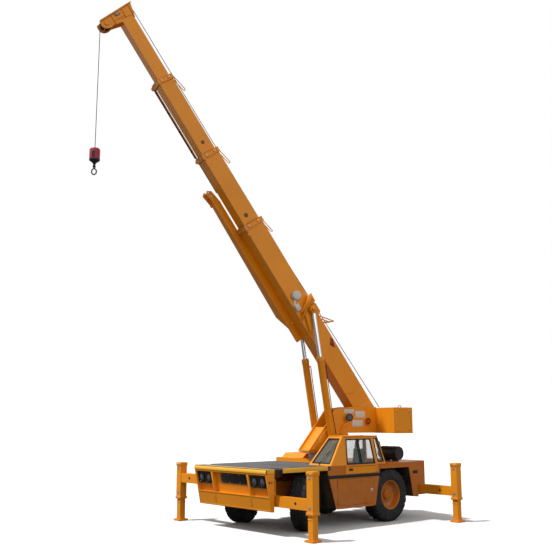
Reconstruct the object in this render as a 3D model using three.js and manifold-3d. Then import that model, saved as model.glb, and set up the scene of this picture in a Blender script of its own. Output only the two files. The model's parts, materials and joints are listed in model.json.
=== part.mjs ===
// Carry-deck mobile crane: a four-wheeled carrier with a flat load deck, a low cab on its left side,
// four box outriggers and a slewing turret with a four-section telescopic boom.
// Millimetres, +Z up. The machine's front faces -Y and its left side is +X.
// Carrier parts are drawn with Y = 0 on the centre line of the front outrigger posts and Z = 0 on the ground.
// Turret parts are drawn in a frame on the slewing axis, with -Y ahead of the boom and +X on its left.
// Boom parts are drawn in a frame on the boom's foot pin, with -Y along the boom and +Z out of its top face.
// Outlines of turret and boom parts are (ahead, up) points.
import * as THREE from 'three';
import { mergeVertices } from 'three/addons/utils/BufferGeometryUtils.js';
import { ConvexGeometry } from 'three/addons/geometries/ConvexGeometry.js';
import Module from 'manifold-3d';

const wasm = await Module();
wasm.setup();

// ---------------------------------------------------------------- driving dimensions

const SEAT_GAP = 0.3;        // between two pieces that rest on each other
const RUN_GAP = 0.5;         // between a pin, pad or guide and what runs on it

// carrier
const WIDTH = 2440;          // over the deck
const DECK_TOP = 1310;
const DECK_PLATE = 14;
const DECK_SKIRT = 78;       // depth of the deck's edge
const DECK_FRONT = -335;
const DECK_REAR = 2070;      // where the turret housing starts
const PLATE = 12;            // body plate
const REAR_BODY_FRONT = 3080;
const BODY_REAR = 4450;      // rear end of the full-width body
const TAIL_REAR = 4950;
const TAIL_WIDTH = 2000;
const BODY_BOTTOM = 1195;    // underside of the body over the rear wheels
const RAIL_X = 400;          // centre of a frame rail
const RAIL_WIDTH = 90;
const RAIL_TOP = 985;
const RAIL_BOTTOM = 690;
const RAIL_FRONT = 100;

// wheels and axles
const TYRE_RADIUS = 594;
const TYRE_WIDTH = 380;
const RIM_RADIUS = 310;
const RIM_FLANGE = 322;
const WHEEL_X = 1000;        // centre of a wheel
const FRONT_AXLE_Y = 900;
const REAR_AXLE_Y = 3462;
const KINGPIN_X = 880;
const KINGPIN_RADIUS = 32;
const AXLE_RADIUS = 85;
const HUB_RADIUS = 125;
const SPINDLE_RADIUS = 60;
const LEFT_STEER = 30;       // degrees, both wheels turned to the left
const RIGHT_STEER = 22;

// outriggers
const REAR_POST_Y = 4558;
const POST_X = 2207;         // centre of a post
const POST_SIZE = 170;
const POST_WALL = 10;
const POST_TOP = 1310;
const POST_BOTTOM = 490;
const LEG_SIZE = 136;
const PAD_SIZE = 240;
const PAD_THICK = 24;
const LEG_HIDDEN = 385;      // length of a leg inside its post
const BEAM_HEIGHT = 210;
const BEAM_DEPTH = 150;
const BEAM_WALL = 10;
const LOWER_BEAM_Z = 680;    // centre of the lower beam
const UPPER_BEAM_Z = 967;
const BEAM_INNER_X = 130;    // inner end of a beam, past the centre line's own side
const BEAM_HOLE = 62;
const HOUSING_WALL = 14;
const BEAM_GAP = 5;          // round a beam inside its housing
const HOUSING_X = 1020;
const HOUSING_LIP = 40;
const POST_NOTCH = 110;      // half width of the notch that takes a drawn-in post

// bumper
const BUMPER_TOP_Y = -335;
const BUMPER_LOW_Y = -169;
const BUMPER_BOTTOM = 474;
const BUMPER_BACK = -118;
const BUMPER_TOP = DECK_TOP - DECK_PLATE - DECK_SKIRT - SEAT_GAP;
const BUMPER_SLAB = 95;
const RECESS_DEPTH = 75;
const RECESS_LOW = 765;
const RECESS_HIGH = 1185;
const RIB_X = 610;           // centre of a rib between two recesses
const RIB_WIDTH = 45;
const CHEEK = 45;            // bumper's side plates
const LAMP_DEPTH = 40;

// cab
const CAB_FRONT = 1490;      // foot of the windscreen
const CAB_REAR = 3270;
const ROOF_FRONT = 2000;
const ROOF_REAR = 3145;
const CAB_RIGHT = 532;
const CAB_LEFT = WIDTH / 2;
const ROOF_RIGHT = 662;
const ROOF_LEFT = 1080;
const CAB_TOP = 1930;
const CAB_WALL = 32;
const GLASS = 6;
const SILL = 1330;           // lower edge of the side windows
const DOOR_FRONT = 2010;
const DOOR_REAR = 2960;
const WINDOW_TOP = 1880;
const TUB_FLOOR = 640;
const TUB_FRONT = 1710;
const TUB_REAR = 2820;
const TUB_RIGHT = 560;
const STRIPE_LOW = 1040;
const STRIPE_HIGH = 1110;
const PANEL_LOW = 415;
const DOOR_GAP = 6;          // round a door or hatch
const HINGE_RADIUS = 12;
const HINGE_X = WIDTH / 2 + HINGE_RADIUS + RUN_GAP;
const HATCH_FRONT = 1697;
const HATCH_REAR = 2833;

// turret
const SLEW_Y = 2450;         // slewing axis behind the front posts
const SLEW = -16;            // degrees, boom turned to the right
const RING_RADIUS = 330;
const RING_TOP = 1540;
const TURRET_BOTTOM = 1565;
const CHEEK_OUT = 280;       // outer face of a turret side plate
const CHEEK_PLATE = 30;
const PIN_Q = -1078;         // boom foot pin, ahead of the slewing axis
const PIN_Z = 2252;
const PIN_RADIUS = 55;
const TURRET_TOP = 2590;
const TURRET_TAIL = -1313;
const TAIL_BOTTOM = 1985;
const WEIGHT_LENGTH = 510;
const WEIGHT_WIDTH = 2100;
const WEIGHT_TOP = 2570;
const WEIGHT_BOTTOM = 1980;
const WINCH_BAY = 520;       // width of the bay in the counterweight
const DRUM_RADIUS = 95;
const DRUM_FLANGE = 140;
const DRUM_Q = -1625;
const DRUM_Z = 2425;
const DRUM_LENGTH = 400;

// boom
const LUFF = 55.4;           // degrees above level
const BOOM_AXIS = 141;       // centre line of the sections above the foot pin
const HEAD_BACK = 10960;     // front end of the last section
const BOOM_WIDTH = 424;
const BOOM_HEIGHT = 490;
const BASE_STEP_WIDTH = 68;  // how much the second section is narrower than the base
const BASE_STEP_HEIGHT = 60;
const NEST_STEP = 58;        // how much each later section is smaller than the one it slides in
const nested = (from, times, step) => from - step - times * NEST_STEP;
const SECTIONS = [           // width, height, rear end, front end
  { width: BOOM_WIDTH, height: BOOM_HEIGHT, rear: -130, front: 5491 },
  ...[{ rear: 2491, front: 7400 }, { rear: 4464, front: 9375 }, { rear: 6395, front: HEAD_BACK }]
    .map((ends, times) => ({
      width: nested(BOOM_WIDTH, times, BASE_STEP_WIDTH), height: nested(BOOM_HEIGHT, times, BASE_STEP_HEIGHT),
      ...ends,
    })),
];
const BOOM_WALL = 10;
const COLLAR = 24;           // how far a collar stands out
const COLLAR_LENGTH = 110;
const PAD_LENGTH = 120;
const HEAD_FRONT = HEAD_BACK + 275;   // top corner of the head's raked front
const HEAD_CHIN = HEAD_BACK + 145;    // low corner of it
const HEAD_CHIN_N = -510;
const HEAD_RISE = 95;         // above the last section
const SHEAVE_T = HEAD_BACK + 40;      // head sheave along the boom
const SHEAVE_N = -392;       // head sheave above the foot pin's line
const SHEAVE_RADIUS = 125;
const SHEAVE_GROOVE = 22;
const SHEAVE_WIDTH = 50;
const SHEAVE_PIN = 28;
const HEAD_PLATE = 16;

// lift cylinders
const LIFT_S = 380;          // from the boom's centre plane
const FOOT_Q = -55;
const FOOT_Z = 1760;
const FOOT_PIN = 38;
const EYE_T = 2995;          // rod's eye on the boom
const EYE_N = 240;
const LIFT_PIN_GAP = 1.6;
const BARREL_RADIUS = 83;
const BARREL_TOP = 2000;     // from the foot pin
const ROD_RADIUS = 48;
const ROD_END = 1230;        // rod's inner end from the foot pin
const EYE_RADIUS = 72;

// hoist
const ROPE_RADIUS = 8;
const ROPE_LENGTH = 2919;    // below the sheave's centre
const BLOCK_RADIUS = 118;
const BLOCK_HEIGHT = 360;
const HOOK_RING = 75;
const HOOK_BAR = 20;

// ---------------------------------------------------------------- shapes

const V2 = (x, y) => new THREE.Vector2(x, y);
const V3 = (x, y, z) => new THREE.Vector3(x, y, z);

function solid(geometry) {
  const bare = geometry.clone();
  bare.deleteAttribute('normal');
  bare.deleteAttribute('uv');
  const merged = mergeVertices(bare, 1e-3);
  return new wasm.Manifold(new wasm.Mesh({
    numProp: 3,
    vertProperties: new Float32Array(merged.attributes.position.array),
    triVerts: new Uint32Array(merged.index.array),
  }));
}

function geometryOf(shape) {
  const mesh = shape.getMesh();
  const geometry = new THREE.BufferGeometry();
  geometry.setAttribute('position', new THREE.BufferAttribute(new Float32Array(mesh.vertProperties), 3));
  geometry.setIndex(new THREE.BufferAttribute(new Uint32Array(mesh.triVerts), 1));
  return geometry.toNonIndexed();
}

function join(...shapes) {
  return shapes.flat().reduce((whole, shape) => whole.add(shape));
}

function cut(shape, ...tools) {
  return tools.flat().reduce((rest, tool) => rest.subtract(tool), shape);
}

function box(x0, x1, y0, y1, z0, z1) {
  const geometry = new THREE.BoxGeometry(x1 - x0, y1 - y0, z1 - z0);
  return solid(geometry.translate((x0 + x1) / 2, (y0 + y1) / 2, (z0 + z1) / 2));
}

// Extrusions of an outline: along X from (y, z) points, along Y from (x, z) points, along Z from (x, y) points.
function extrude(points, depth) {
  return new THREE.ExtrudeGeometry(new THREE.Shape(points.map(([a, b]) => V2(a, b))),
    { depth, bevelEnabled: false });
}

function alongX(points, x0, x1) {
  const turn = new THREE.Matrix4().makeBasis(V3(0, 1, 0), V3(0, 0, 1), V3(1, 0, 0));
  return solid(extrude(points, x1 - x0).applyMatrix4(turn).translate(x0, 0, 0));
}

function alongY(points, y0, y1) {
  const turn = new THREE.Matrix4().makeBasis(V3(1, 0, 0), V3(0, 0, 1), V3(0, -1, 0));
  return solid(extrude(points, y1 - y0).applyMatrix4(turn).translate(0, y1, 0));
}

function alongZ(points, z0, z1) {
  return solid(extrude(points, z1 - z0).translate(0, 0, z0));
}

// A round bar between two points.
function bar(from, to, radius, sides = 24) {
  const axis = to.clone().sub(from);
  const geometry = new THREE.CylinderGeometry(radius, radius, axis.length(), sides);
  const turn = new THREE.Quaternion().setFromUnitVectors(V3(0, 1, 0), axis.clone().normalize());
  return solid(geometry.applyQuaternion(turn).translate(...from.clone().add(to).multiplyScalar(0.5).toArray()));
}

function barX(x0, x1, y, z, radius, sides) {
  return bar(V3(x0, y, z), V3(x1, y, z), radius, sides);
}

// A turned piece about the Y axis from (radius, height) points, listed anticlockwise around the section.
function turned(points, sides) {
  return new THREE.LatheGeometry(points.map(([r, h]) => V2(r, h)), sides);
}

function turnedX(points, sides = 40) {
  return solid(turned(points, sides).rotateZ(-Math.PI / 2));
}

function turnedZ(points, sides = 32) {
  return solid(turned(points, sides).rotateX(Math.PI / 2));
}

function hull(points) {
  return solid(new ConvexGeometry(points.map(([x, y, z]) => V3(x, y, z))));
}

// Extrusion across the machine of an (ahead, up) outline.
function across(points, x0, x1) {
  return alongX(points.map(([ahead, up]) => [-ahead, up]), x0, x1);
}

// ---------------------------------------------------------------- materials

const paint = (color) => new THREE.MeshStandardMaterial({ color, roughness: 0.45, metalness: 0.1 });
const YELLOW = paint(0xe89a20);
const BLACK = paint(0x1a1a1c);
const DECK_GREY = new THREE.MeshStandardMaterial({ color: 0x4a4a4c, roughness: 0.9, metalness: 0 });
const RUBBER = new THREE.MeshStandardMaterial({ color: 0x161616, roughness: 0.9, metalness: 0 });
const CHROME = new THREE.MeshStandardMaterial({ color: 0xc8c8cc, roughness: 0.15, metalness: 1 });
const STEEL = new THREE.MeshStandardMaterial({ color: 0x4c4c50, roughness: 0.5, metalness: 0.8 });
const GLAZING = new THREE.MeshStandardMaterial({ color: 0x8fa39a, roughness: 0.05, metalness: 0,
  transparent: true, opacity: 0.35 });
const RED = paint(0xa01c34);
const WHITE = paint(0xe4e4e0);
const SEAT_CLOTH = new THREE.MeshStandardMaterial({ color: 0x202022, roughness: 0.8, metalness: 0 });

// ---------------------------------------------------------------- scene groups

const crane = new THREE.Group();
const turretGroup = new THREE.Group();
turretGroup.position.set(0, SLEW_Y, 0);
turretGroup.rotation.z = THREE.MathUtils.degToRad(SLEW);
crane.add(turretGroup);

const boomGroup = new THREE.Group();
boomGroup.position.set(0, -PIN_Q, PIN_Z);
boomGroup.rotation.x = THREE.MathUtils.degToRad(-LUFF);
turretGroup.add(boomGroup);

function place(name, shape, material, parent = crane) {
  const mesh = new THREE.Mesh(geometryOf(shape), material);
  mesh.name = name;
  parent.add(mesh);
  return mesh;
}

// ---------------------------------------------------------------- carrier frame

const half = WIDTH / 2;
const underDeck = DECK_TOP - DECK_PLATE;
const tailHalf = TAIL_WIDTH / 2;

const housingDepth = BEAM_DEPTH / 2 + BEAM_GAP + HOUSING_WALL;   // half the depth of an outrigger housing
const railRear = REAR_POST_Y - housingDepth - SEAT_GAP;

function chassisFrame() {
  const rails = [-1, 1].map((side) => box(side * RAIL_X - RAIL_WIDTH / 2, side * RAIL_X + RAIL_WIDTH / 2,
    RAIL_FRONT, railRear, RAIL_BOTTOM, RAIL_TOP));
  const crossY = [RAIL_FRONT + 60, 1500, 2900, 4200];
  const crosses = crossY.map((y) => box(-RAIL_X, RAIL_X, y - 60, y + 60, RAIL_BOTTOM + 40, RAIL_TOP - 40));
  const outrigger = box(-half + 60, half - 60, 4265, 4335, RAIL_TOP - 60, RAIL_TOP);
  const pedestal = box(-RAIL_X - 45, RAIL_X + 45, SLEW_Y - RAIL_X, SLEW_Y + RAIL_X, RAIL_TOP,
    underDeck - SEAT_GAP);
  return join(...rails, ...crosses, outrigger, pedestal);
}
place('chassis_frame', chassisFrame(), YELLOW);

function deck() {
  const outline = box(-half, half, DECK_FRONT, DECK_REAR, underDeck - DECK_SKIRT, DECK_TOP);
  const under = box(-half + PLATE * 2, half - PLATE * 2, DECK_FRONT + PLATE * 3, DECK_REAR + 1,
    underDeck - DECK_SKIRT - 1, underDeck);
  const beside = box(TUB_RIGHT - 40, half + 1, CAB_FRONT - SEAT_GAP, DECK_REAR + 1,
    underDeck - DECK_SKIRT - 1, DECK_TOP + 1);
  const notches = [-1, 1].map((side) => box(side * 1030 - (side < 0 ? 200 : 0),
    side * 1030 + (side > 0 ? 200 : 0),
    -POST_NOTCH, POST_NOTCH, underDeck - DECK_SKIRT - 1, DECK_TOP + 1));
  return cut(outline, under, beside, ...notches);
}
place('load_deck', deck(), DECK_GREY);

function bumper() {
  const face = [[BUMPER_TOP_Y, BUMPER_TOP], [BUMPER_LOW_Y, BUMPER_BOTTOM], [BUMPER_BACK, BUMPER_BOTTOM],
    [BUMPER_BACK, BUMPER_TOP]];
  const rake = (BUMPER_LOW_Y - BUMPER_TOP_Y) / (BUMPER_BOTTOM - BUMPER_TOP);
  const faceY = (z) => BUMPER_TOP_Y + (z - BUMPER_TOP) * rake;
  const whole = alongX(face, -half, half);
  const behind = alongX([[faceY(BUMPER_TOP + 1) + BUMPER_SLAB, BUMPER_TOP + 1],
    [faceY(600) + BUMPER_SLAB, 600],
    [BUMPER_BACK + 50, 600], [BUMPER_BACK + 50, BUMPER_TOP + 1]], -half + CHEEK, half - CHEEK);
  const bays = [[-half + CHEEK, -RIB_X - RIB_WIDTH / 2], [-RIB_X + RIB_WIDTH / 2, RIB_X - RIB_WIDTH / 2],
    [RIB_X + RIB_WIDTH / 2, half - CHEEK]];
  const pockets = bays.map(([x0, x1]) => alongX([[faceY(RECESS_HIGH) - 20, RECESS_HIGH],
    [faceY(RECESS_LOW) - 20, RECESS_LOW],
    [faceY(RECESS_LOW) + RECESS_DEPTH, RECESS_LOW], [faceY(RECESS_HIGH) + RECESS_DEPTH, RECESS_HIGH]], x0,
    x1));
  return cut(whole, behind, ...pockets);
}
place('front_bumper', bumper(), YELLOW);

function lampPanel(side) {
  const y = BUMPER_TOP_Y + RECESS_DEPTH - SEAT_GAP;
  const rake = (BUMPER_LOW_Y - BUMPER_TOP_Y) / (BUMPER_BOTTOM - BUMPER_TOP);
  const z0 = 930;
  const z1 = RECESS_HIGH - 15;
  const at = (z) => y + (z - BUMPER_TOP) * rake;
  const near = side * (RIB_X + RIB_WIDTH / 2 + 12);
  const far = side * (half - CHEEK - 12);
  return alongX([[at(z1) - LAMP_DEPTH, z1], [at(z0) - LAMP_DEPTH, z0], [at(z0), z0], [at(z1), z1]],
    Math.min(near, far), Math.max(near, far));
}
place('left_headlight', lampPanel(1), BLACK);
place('right_headlight', lampPanel(-1), BLACK);

// ---------------------------------------------------------------- outriggers

function housing(y) {
  const h = BEAM_HEIGHT / 2 + BEAM_GAP + HOUSING_WALL;
  const d = housingDepth;
  const shell = box(-HOUSING_X, HOUSING_X, y - d, y + d, LOWER_BEAM_Z - h, UPPER_BEAM_Z + h);
  const slots = [LOWER_BEAM_Z, UPPER_BEAM_Z].map((z) => join(
    box(-HOUSING_X + HOUSING_LIP, HOUSING_X - HOUSING_LIP, y - BEAM_DEPTH / 2 - BEAM_GAP,
    y + BEAM_DEPTH / 2 + BEAM_GAP,
      z - BEAM_HEIGHT / 2 - BEAM_GAP, z + BEAM_HEIGHT / 2 + BEAM_GAP),
    box(-HOUSING_X - 1, HOUSING_X + 1, y - BEAM_DEPTH / 2 - RUN_GAP, y + BEAM_DEPTH / 2 + RUN_GAP,
      z - BEAM_HEIGHT / 2 - RUN_GAP, z + BEAM_HEIGHT / 2 + RUN_GAP)));
  const stands = [-1, 1].map((side) => box(side * RAIL_X - RAIL_WIDTH / 2, side * RAIL_X + RAIL_WIDTH / 2,
    y - d, y + d, UPPER_BEAM_Z + h - 1, underDeck - SEAT_GAP));
  return join(cut(shell, ...slots), ...stands);
}
place('front_outrigger_housing', housing(0), YELLOW);
place('rear_outrigger_housing', housing(REAR_POST_Y), YELLOW);

function outriggerBeam(side, y) {
  const z = side > 0 ? LOWER_BEAM_Z : UPPER_BEAM_Z;
  const postIn = POST_X - POST_SIZE / 2;
  const mirror = (x0, x1, ...rest) => (side > 0 ? box(x0, x1, ...rest) : box(-x1, -x0, ...rest));
  const beam = cut(
    mirror(BEAM_INNER_X, postIn + 1, y - BEAM_DEPTH / 2, y + BEAM_DEPTH / 2, z - BEAM_HEIGHT / 2,
    z + BEAM_HEIGHT / 2),
    mirror(BEAM_INNER_X - 1, postIn - BEAM_WALL, y - BEAM_DEPTH / 2 + BEAM_WALL,
    y + BEAM_DEPTH / 2 - BEAM_WALL,
      z - BEAM_HEIGHT / 2 + BEAM_WALL, z + BEAM_HEIGHT / 2 - BEAM_WALL));
  const eye = bar(V3(side * 1790, y - BEAM_DEPTH, z), V3(side * 1790, y, z), BEAM_HOLE / 2, 20);
  const post = cut(
    mirror(postIn, postIn + POST_SIZE, y - POST_SIZE / 2, y + POST_SIZE / 2, POST_BOTTOM, POST_TOP),
    mirror(postIn + POST_WALL, postIn + POST_SIZE - POST_WALL, y - POST_SIZE / 2 + POST_WALL,
    y + POST_SIZE / 2 - POST_WALL,
      POST_BOTTOM + HOUSING_LIP, POST_TOP - POST_WALL),
    mirror(POST_X - LEG_SIZE / 2 - RUN_GAP, POST_X + LEG_SIZE / 2 + RUN_GAP, y - LEG_SIZE / 2 - RUN_GAP,
      y + LEG_SIZE / 2 + RUN_GAP, POST_BOTTOM - 1, POST_BOTTOM + HOUSING_LIP + 1));
  return join(cut(beam, eye), post);
}

function outriggerLeg(side, y) {
  const x = side * POST_X;
  const h = LEG_SIZE / 2;
  const p = PAD_SIZE / 2;
  const tube = box(x - h, x + h, y - h, y + h, PAD_THICK - 1, POST_BOTTOM + LEG_HIDDEN);
  const foot = box(x - p, x + p, y - p, y + p, 0, PAD_THICK);
  return join(tube, foot);
}

for (const [end, y] of [['front', 0], ['rear', REAR_POST_Y]]) {
  for (const [hand, side] of [['left', 1], ['right', -1]]) {
    place(`${end}_${hand}_outrigger_beam`, outriggerBeam(side, y), YELLOW);
    place(`${end}_${hand}_outrigger_leg`, outriggerLeg(side, y), YELLOW);
  }
}

// ---------------------------------------------------------------- axles and wheels

const DISC = 22;             // thickness of a rim's disc

// A wheel's own frame has its centre at the origin and its outer face towards +X.
function rim() {
  const w = TYRE_WIDTH / 2 - 12;
  return turnedX([
    [0, 60], [SPINDLE_RADIUS + RUN_GAP, 60], [SPINDLE_RADIUS + RUN_GAP, -DISC],
    [RIM_RADIUS - 60, -DISC], [RIM_RADIUS - 42, -w + 40], [RIM_RADIUS - 22, -w], [RIM_FLANGE, -w],
    [RIM_FLANGE, -w + 16], [RIM_RADIUS, -w + 24], [RIM_RADIUS, w - 24], [RIM_FLANGE, w - 16], [RIM_FLANGE, w],
    [RIM_RADIUS - 22, w], [RIM_RADIUS - 40, w - 60], [RIM_RADIUS - 60, 5], [HUB_RADIUS + 40, 0],
    [HUB_RADIUS, 60],
    [HUB_RADIUS, 105], [0, 105],
  ], 28);
}

function tyre() {
  const w = TYRE_WIDTH / 2;
  const bead = RIM_RADIUS + RUN_GAP;
  const outline = [
    [bead, -w + 38], [bead + 20, -w + 34], [RIM_FLANGE + 30, -w + 8], [(RIM_FLANGE + TYRE_RADIUS) / 2, -w],
    [TYRE_RADIUS, -w + 40], [TYRE_RADIUS, w - 40], [(RIM_FLANGE + TYRE_RADIUS) / 2, w],
    [RIM_FLANGE + 30, w - 8],
    [bead + 20, w - 34], [bead, w - 38],
  ];
  return turnedX([...outline, outline[0]], 28);
}

// Holds what turns with a steered wheel, with its kingpin on the group's Z axis.
function steerGroup(side) {
  const group = new THREE.Group();
  group.position.set(side * KINGPIN_X, FRONT_AXLE_Y, TYRE_RADIUS);
  group.rotation.z = THREE.MathUtils.degToRad(side > 0 ? LEFT_STEER : RIGHT_STEER);
  crane.add(group);
  return group;
}

function wheelGroup(parent, x, y, z, side) {
  const group = new THREE.Group();
  group.position.set(x, y, z);
  group.rotation.z = side > 0 ? 0 : Math.PI;
  parent.add(group);
  return group;
}

const KNUCKLE_HEIGHT = 2 * SPINDLE_RADIUS;
const YOKE_THICK = 30;
function knuckle(side) {
  const body = box(-45, 45, -55, 55, -KNUCKLE_HEIGHT / 2, KNUCKLE_HEIGHT / 2);
  const offset = WHEEL_X - KINGPIN_X;
  const spindle = bar(V3(0, 0, 0), V3(side * (offset + 55), 0, 0), SPINDLE_RADIUS);
  const pin = bar(V3(0, 0, -KNUCKLE_HEIGHT / 2 - 45), V3(0, 0, KNUCKLE_HEIGHT / 2 + 45), KINGPIN_RADIUS, 20);
  return join(body, spindle, pin);
}

function frontAxle() {
  const yokes = [-1, 1].map((side) => {
    const x = side * KINGPIN_X;
    const inner = side * (KINGPIN_X - 135);
    const z = TYRE_RADIUS;
    const reach = KNUCKLE_HEIGHT / 2 + SEAT_GAP;
    const ear = (z0, z1) => box(Math.min(inner, x + side * 50), Math.max(inner, x + side * 50),
      FRONT_AXLE_Y - 60, FRONT_AXLE_Y + 60, z0, z1);
    const web = box(Math.min(inner, inner - side * 30), Math.max(inner, inner - side * 30),
      FRONT_AXLE_Y - 60, FRONT_AXLE_Y + 60, z - reach - YOKE_THICK, z + reach + YOKE_THICK);
    const bore = bar(V3(x, FRONT_AXLE_Y, z - 200), V3(x, FRONT_AXLE_Y, z + 200), KINGPIN_RADIUS + RUN_GAP,
      20);
    return cut(join(ear(z + reach, z + reach + YOKE_THICK), ear(z - reach - YOKE_THICK, z - reach), web),
      bore);
  });
  const tube = barX(-KINGPIN_X + 140, KINGPIN_X - 140, FRONT_AXLE_Y, TYRE_RADIUS, AXLE_RADIUS);
  const seats = [-1, 1].map((side) => box(side * RAIL_X - 45, side * RAIL_X + 45, FRONT_AXLE_Y - 70,
    FRONT_AXLE_Y + 70,
    TYRE_RADIUS, RAIL_BOTTOM - SEAT_GAP));
  return join(...yokes, tube, ...seats);
}
place('front_axle', frontAxle(), BLACK);

const REAR_HUB = WHEEL_X - DISC - SEAT_GAP;
function rearAxle() {
  const tube = barX(-REAR_HUB + 60, REAR_HUB - 60, REAR_AXLE_Y, TYRE_RADIUS, AXLE_RADIUS);
  const spindle = barX(-WHEEL_X - 55, WHEEL_X + 55, REAR_AXLE_Y, TYRE_RADIUS, SPINDLE_RADIUS);
  const bowl = turnedX([[0, -150], [120, -140], [185, -60], [185, 60], [120, 140], [0, 150]], 32)
    .translate([0, REAR_AXLE_Y, TYRE_RADIUS]);
  const seats = [-1, 1].map((side) => box(side * RAIL_X - 45, side * RAIL_X + 45, REAR_AXLE_Y - 90,
    REAR_AXLE_Y + 90,
    TYRE_RADIUS, RAIL_BOTTOM - SEAT_GAP));
  return join(tube, spindle, bowl, ...seats);
}
place('rear_axle', rearAxle(), BLACK);

const rimShape = rim();
const tyreShape = tyre();
for (const [hand, side] of [['left', 1], ['right', -1]]) {
  const steered = steerGroup(side);
  place(`${hand}_steering_knuckle`, knuckle(side), BLACK, steered);
  const frontWheel = wheelGroup(steered, side * (WHEEL_X - KINGPIN_X), 0, 0, side);
  place(`front_${hand}_rim`, rimShape, YELLOW, frontWheel);
  place(`front_${hand}_tyre`, tyreShape, RUBBER, frontWheel);
  const rearWheel = wheelGroup(crane, side * WHEEL_X, REAR_AXLE_Y, TYRE_RADIUS, side);
  place(`rear_${hand}_rim`, rimShape, YELLOW, rearWheel);
  place(`rear_${hand}_tyre`, tyreShape, RUBBER, rearWheel);
}

// ---------------------------------------------------------------- body and cab

const roofSlope = (z) => (z - DECK_TOP) / (CAB_TOP - DECK_TOP);
const leftAt = (z) => CAB_LEFT + (ROOF_LEFT - CAB_LEFT) * roofSlope(z);

// The cab is a tapered block; inset moves every face inwards.
function cabBlock(inset, low, high) {
  const level = (z) => {
    const s = roofSlope(z);
    const y0 = CAB_FRONT + (ROOF_FRONT - CAB_FRONT) * s + inset * 1.3;
    const y1 = CAB_REAR + (ROOF_REAR - CAB_REAR) * s - inset;
    const x0 = CAB_RIGHT + (ROOF_RIGHT - CAB_RIGHT) * s + inset;
    return [[x0, y0, z], [leftAt(z) - inset, y0, z], [leftAt(z) - inset, y1, z], [x0, y1, z]];
  };
  return hull([...level(low), ...level(high)]);
}

const doorOutline = (grow) => [
  [DOOR_FRONT - grow - 60, STRIPE_HIGH + 10 - grow], [DOOR_REAR + grow, STRIPE_HIGH + 10 - grow],
  [DOOR_REAR + grow - 30, WINDOW_TOP + 20 + grow], [DOOR_FRONT - grow + 40, WINDOW_TOP + 20 + grow]];
const glassOutline = (grow) => [
  [DOOR_FRONT - 10 - grow, SILL - grow], [DOOR_REAR - 50 + grow, SILL - grow],
  [DOOR_REAR - 75 + grow, WINDOW_TOP - 20 + grow], [DOOR_FRONT + 85 - grow, WINDOW_TOP - 20 + grow]];
const quarterOutline = (grow) => [
  [DOOR_REAR + 50 - grow, SILL + 20 - grow], [CAB_REAR - 55 + grow, SILL + 20 - grow],
  [ROOF_REAR - 20 + grow, WINDOW_TOP + grow], [DOOR_REAR + 30 - grow, WINDOW_TOP + grow]];

function windscreenTool(grow, y0, y1) {
  const low = DECK_TOP + 45 - grow;
  const high = CAB_TOP - 55 + grow;
  const edge = (z, base, roof) => base + (roof - base) * roofSlope(z);
  return alongY([[edge(low, CAB_RIGHT, ROOF_RIGHT) + 62 - grow, low],
    [edge(low, CAB_LEFT, ROOF_LEFT) - 62 + grow, low],
    [edge(high, CAB_LEFT, ROOF_LEFT) - 62 + grow, high],
    [edge(high, CAB_RIGHT, ROOF_RIGHT) + 62 - grow, high]], y0, y1);
}

function cabShell() {
  const shell = cut(cabBlock(0, DECK_TOP + SEAT_GAP, CAB_TOP),
    cabBlock(CAB_WALL, DECK_TOP - 20, CAB_TOP - CAB_WALL));
  return cut(shell,
    windscreenTool(0, CAB_FRONT - 50, ROOF_FRONT + 60),
    alongX(doorOutline(DOOR_GAP), (CAB_RIGHT + CAB_LEFT) / 2, half + 50),
    alongX(quarterOutline(0), (CAB_RIGHT + CAB_LEFT) / 2, half + 50),
    alongX(quarterOutline(0), CAB_RIGHT - 50, CAB_RIGHT + 300),
    alongX(glassOutline(0), CAB_RIGHT - 50, CAB_RIGHT + 300),
    alongY([[CAB_RIGHT + 130, SILL + 60], [CAB_LEFT - 110, SILL + 60], [ROOF_LEFT - 60, WINDOW_TOP - 20],
      [ROOF_RIGHT + 60, WINDOW_TOP - 20]], CAB_REAR - 300, CAB_REAR + 50));
}
place('cab_shell', cabShell(), YELLOW);

// A hinge barrel stands on the body's side next to the edge of a door, with a leaf that carries the door.
function hingeBarrel(x, y, side, z0, z1) {
  const strip = (x0, from, to) => box(x0, x, Math.min(y - side * from, y - side * to),
    Math.max(y - side * from, y - side * to), z0, z1);
  return join(bar(V3(x, y, z0), V3(x, y, z1), HINGE_RADIUS, 12), strip(half + RUN_GAP, 0, 40),
    strip(half - 1, 16, 40));
}

function cabDoor() {
  const skin = cut(cabBlock(0, DECK_TOP, CAB_TOP), cabBlock(CAB_WALL, DECK_TOP - 20, CAB_TOP + 40));
  const apron = box(half - CAB_WALL, half, DOOR_FRONT - 200, DOOR_REAR + 50, STRIPE_HIGH, DECK_TOP + 1);
  const panel = alongX(doorOutline(0), half - 190, half + 50);
  const hinge = hingeBarrel(HINGE_X, DOOR_REAR + DOOR_GAP / 2, 1, STRIPE_HIGH + 40, DECK_TOP - 30);
  return join(cut(join(skin, apron).intersect(panel), alongX(glassOutline(0), half - 250, half + 60)), hinge);
}
place('cab_door', cabDoor(), YELLOW);

function pane(outline, depth) {
  const sheet = cut(cabBlock(depth, DECK_TOP, CAB_TOP), cabBlock(depth + GLASS, DECK_TOP - 20, CAB_TOP + 40));
  return sheet.intersect(outline);
}
place('door_glass', pane(alongX(glassOutline(-SEAT_GAP), half - 250, half + 60), 12), GLAZING);
place('quarter_glass', pane(alongX(quarterOutline(-SEAT_GAP), half - 250, half + 60), 12), GLAZING);
place('windscreen', pane(windscreenTool(-SEAT_GAP, CAB_FRONT - 50, ROOF_FRONT - 5), 12), GLAZING);

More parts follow.
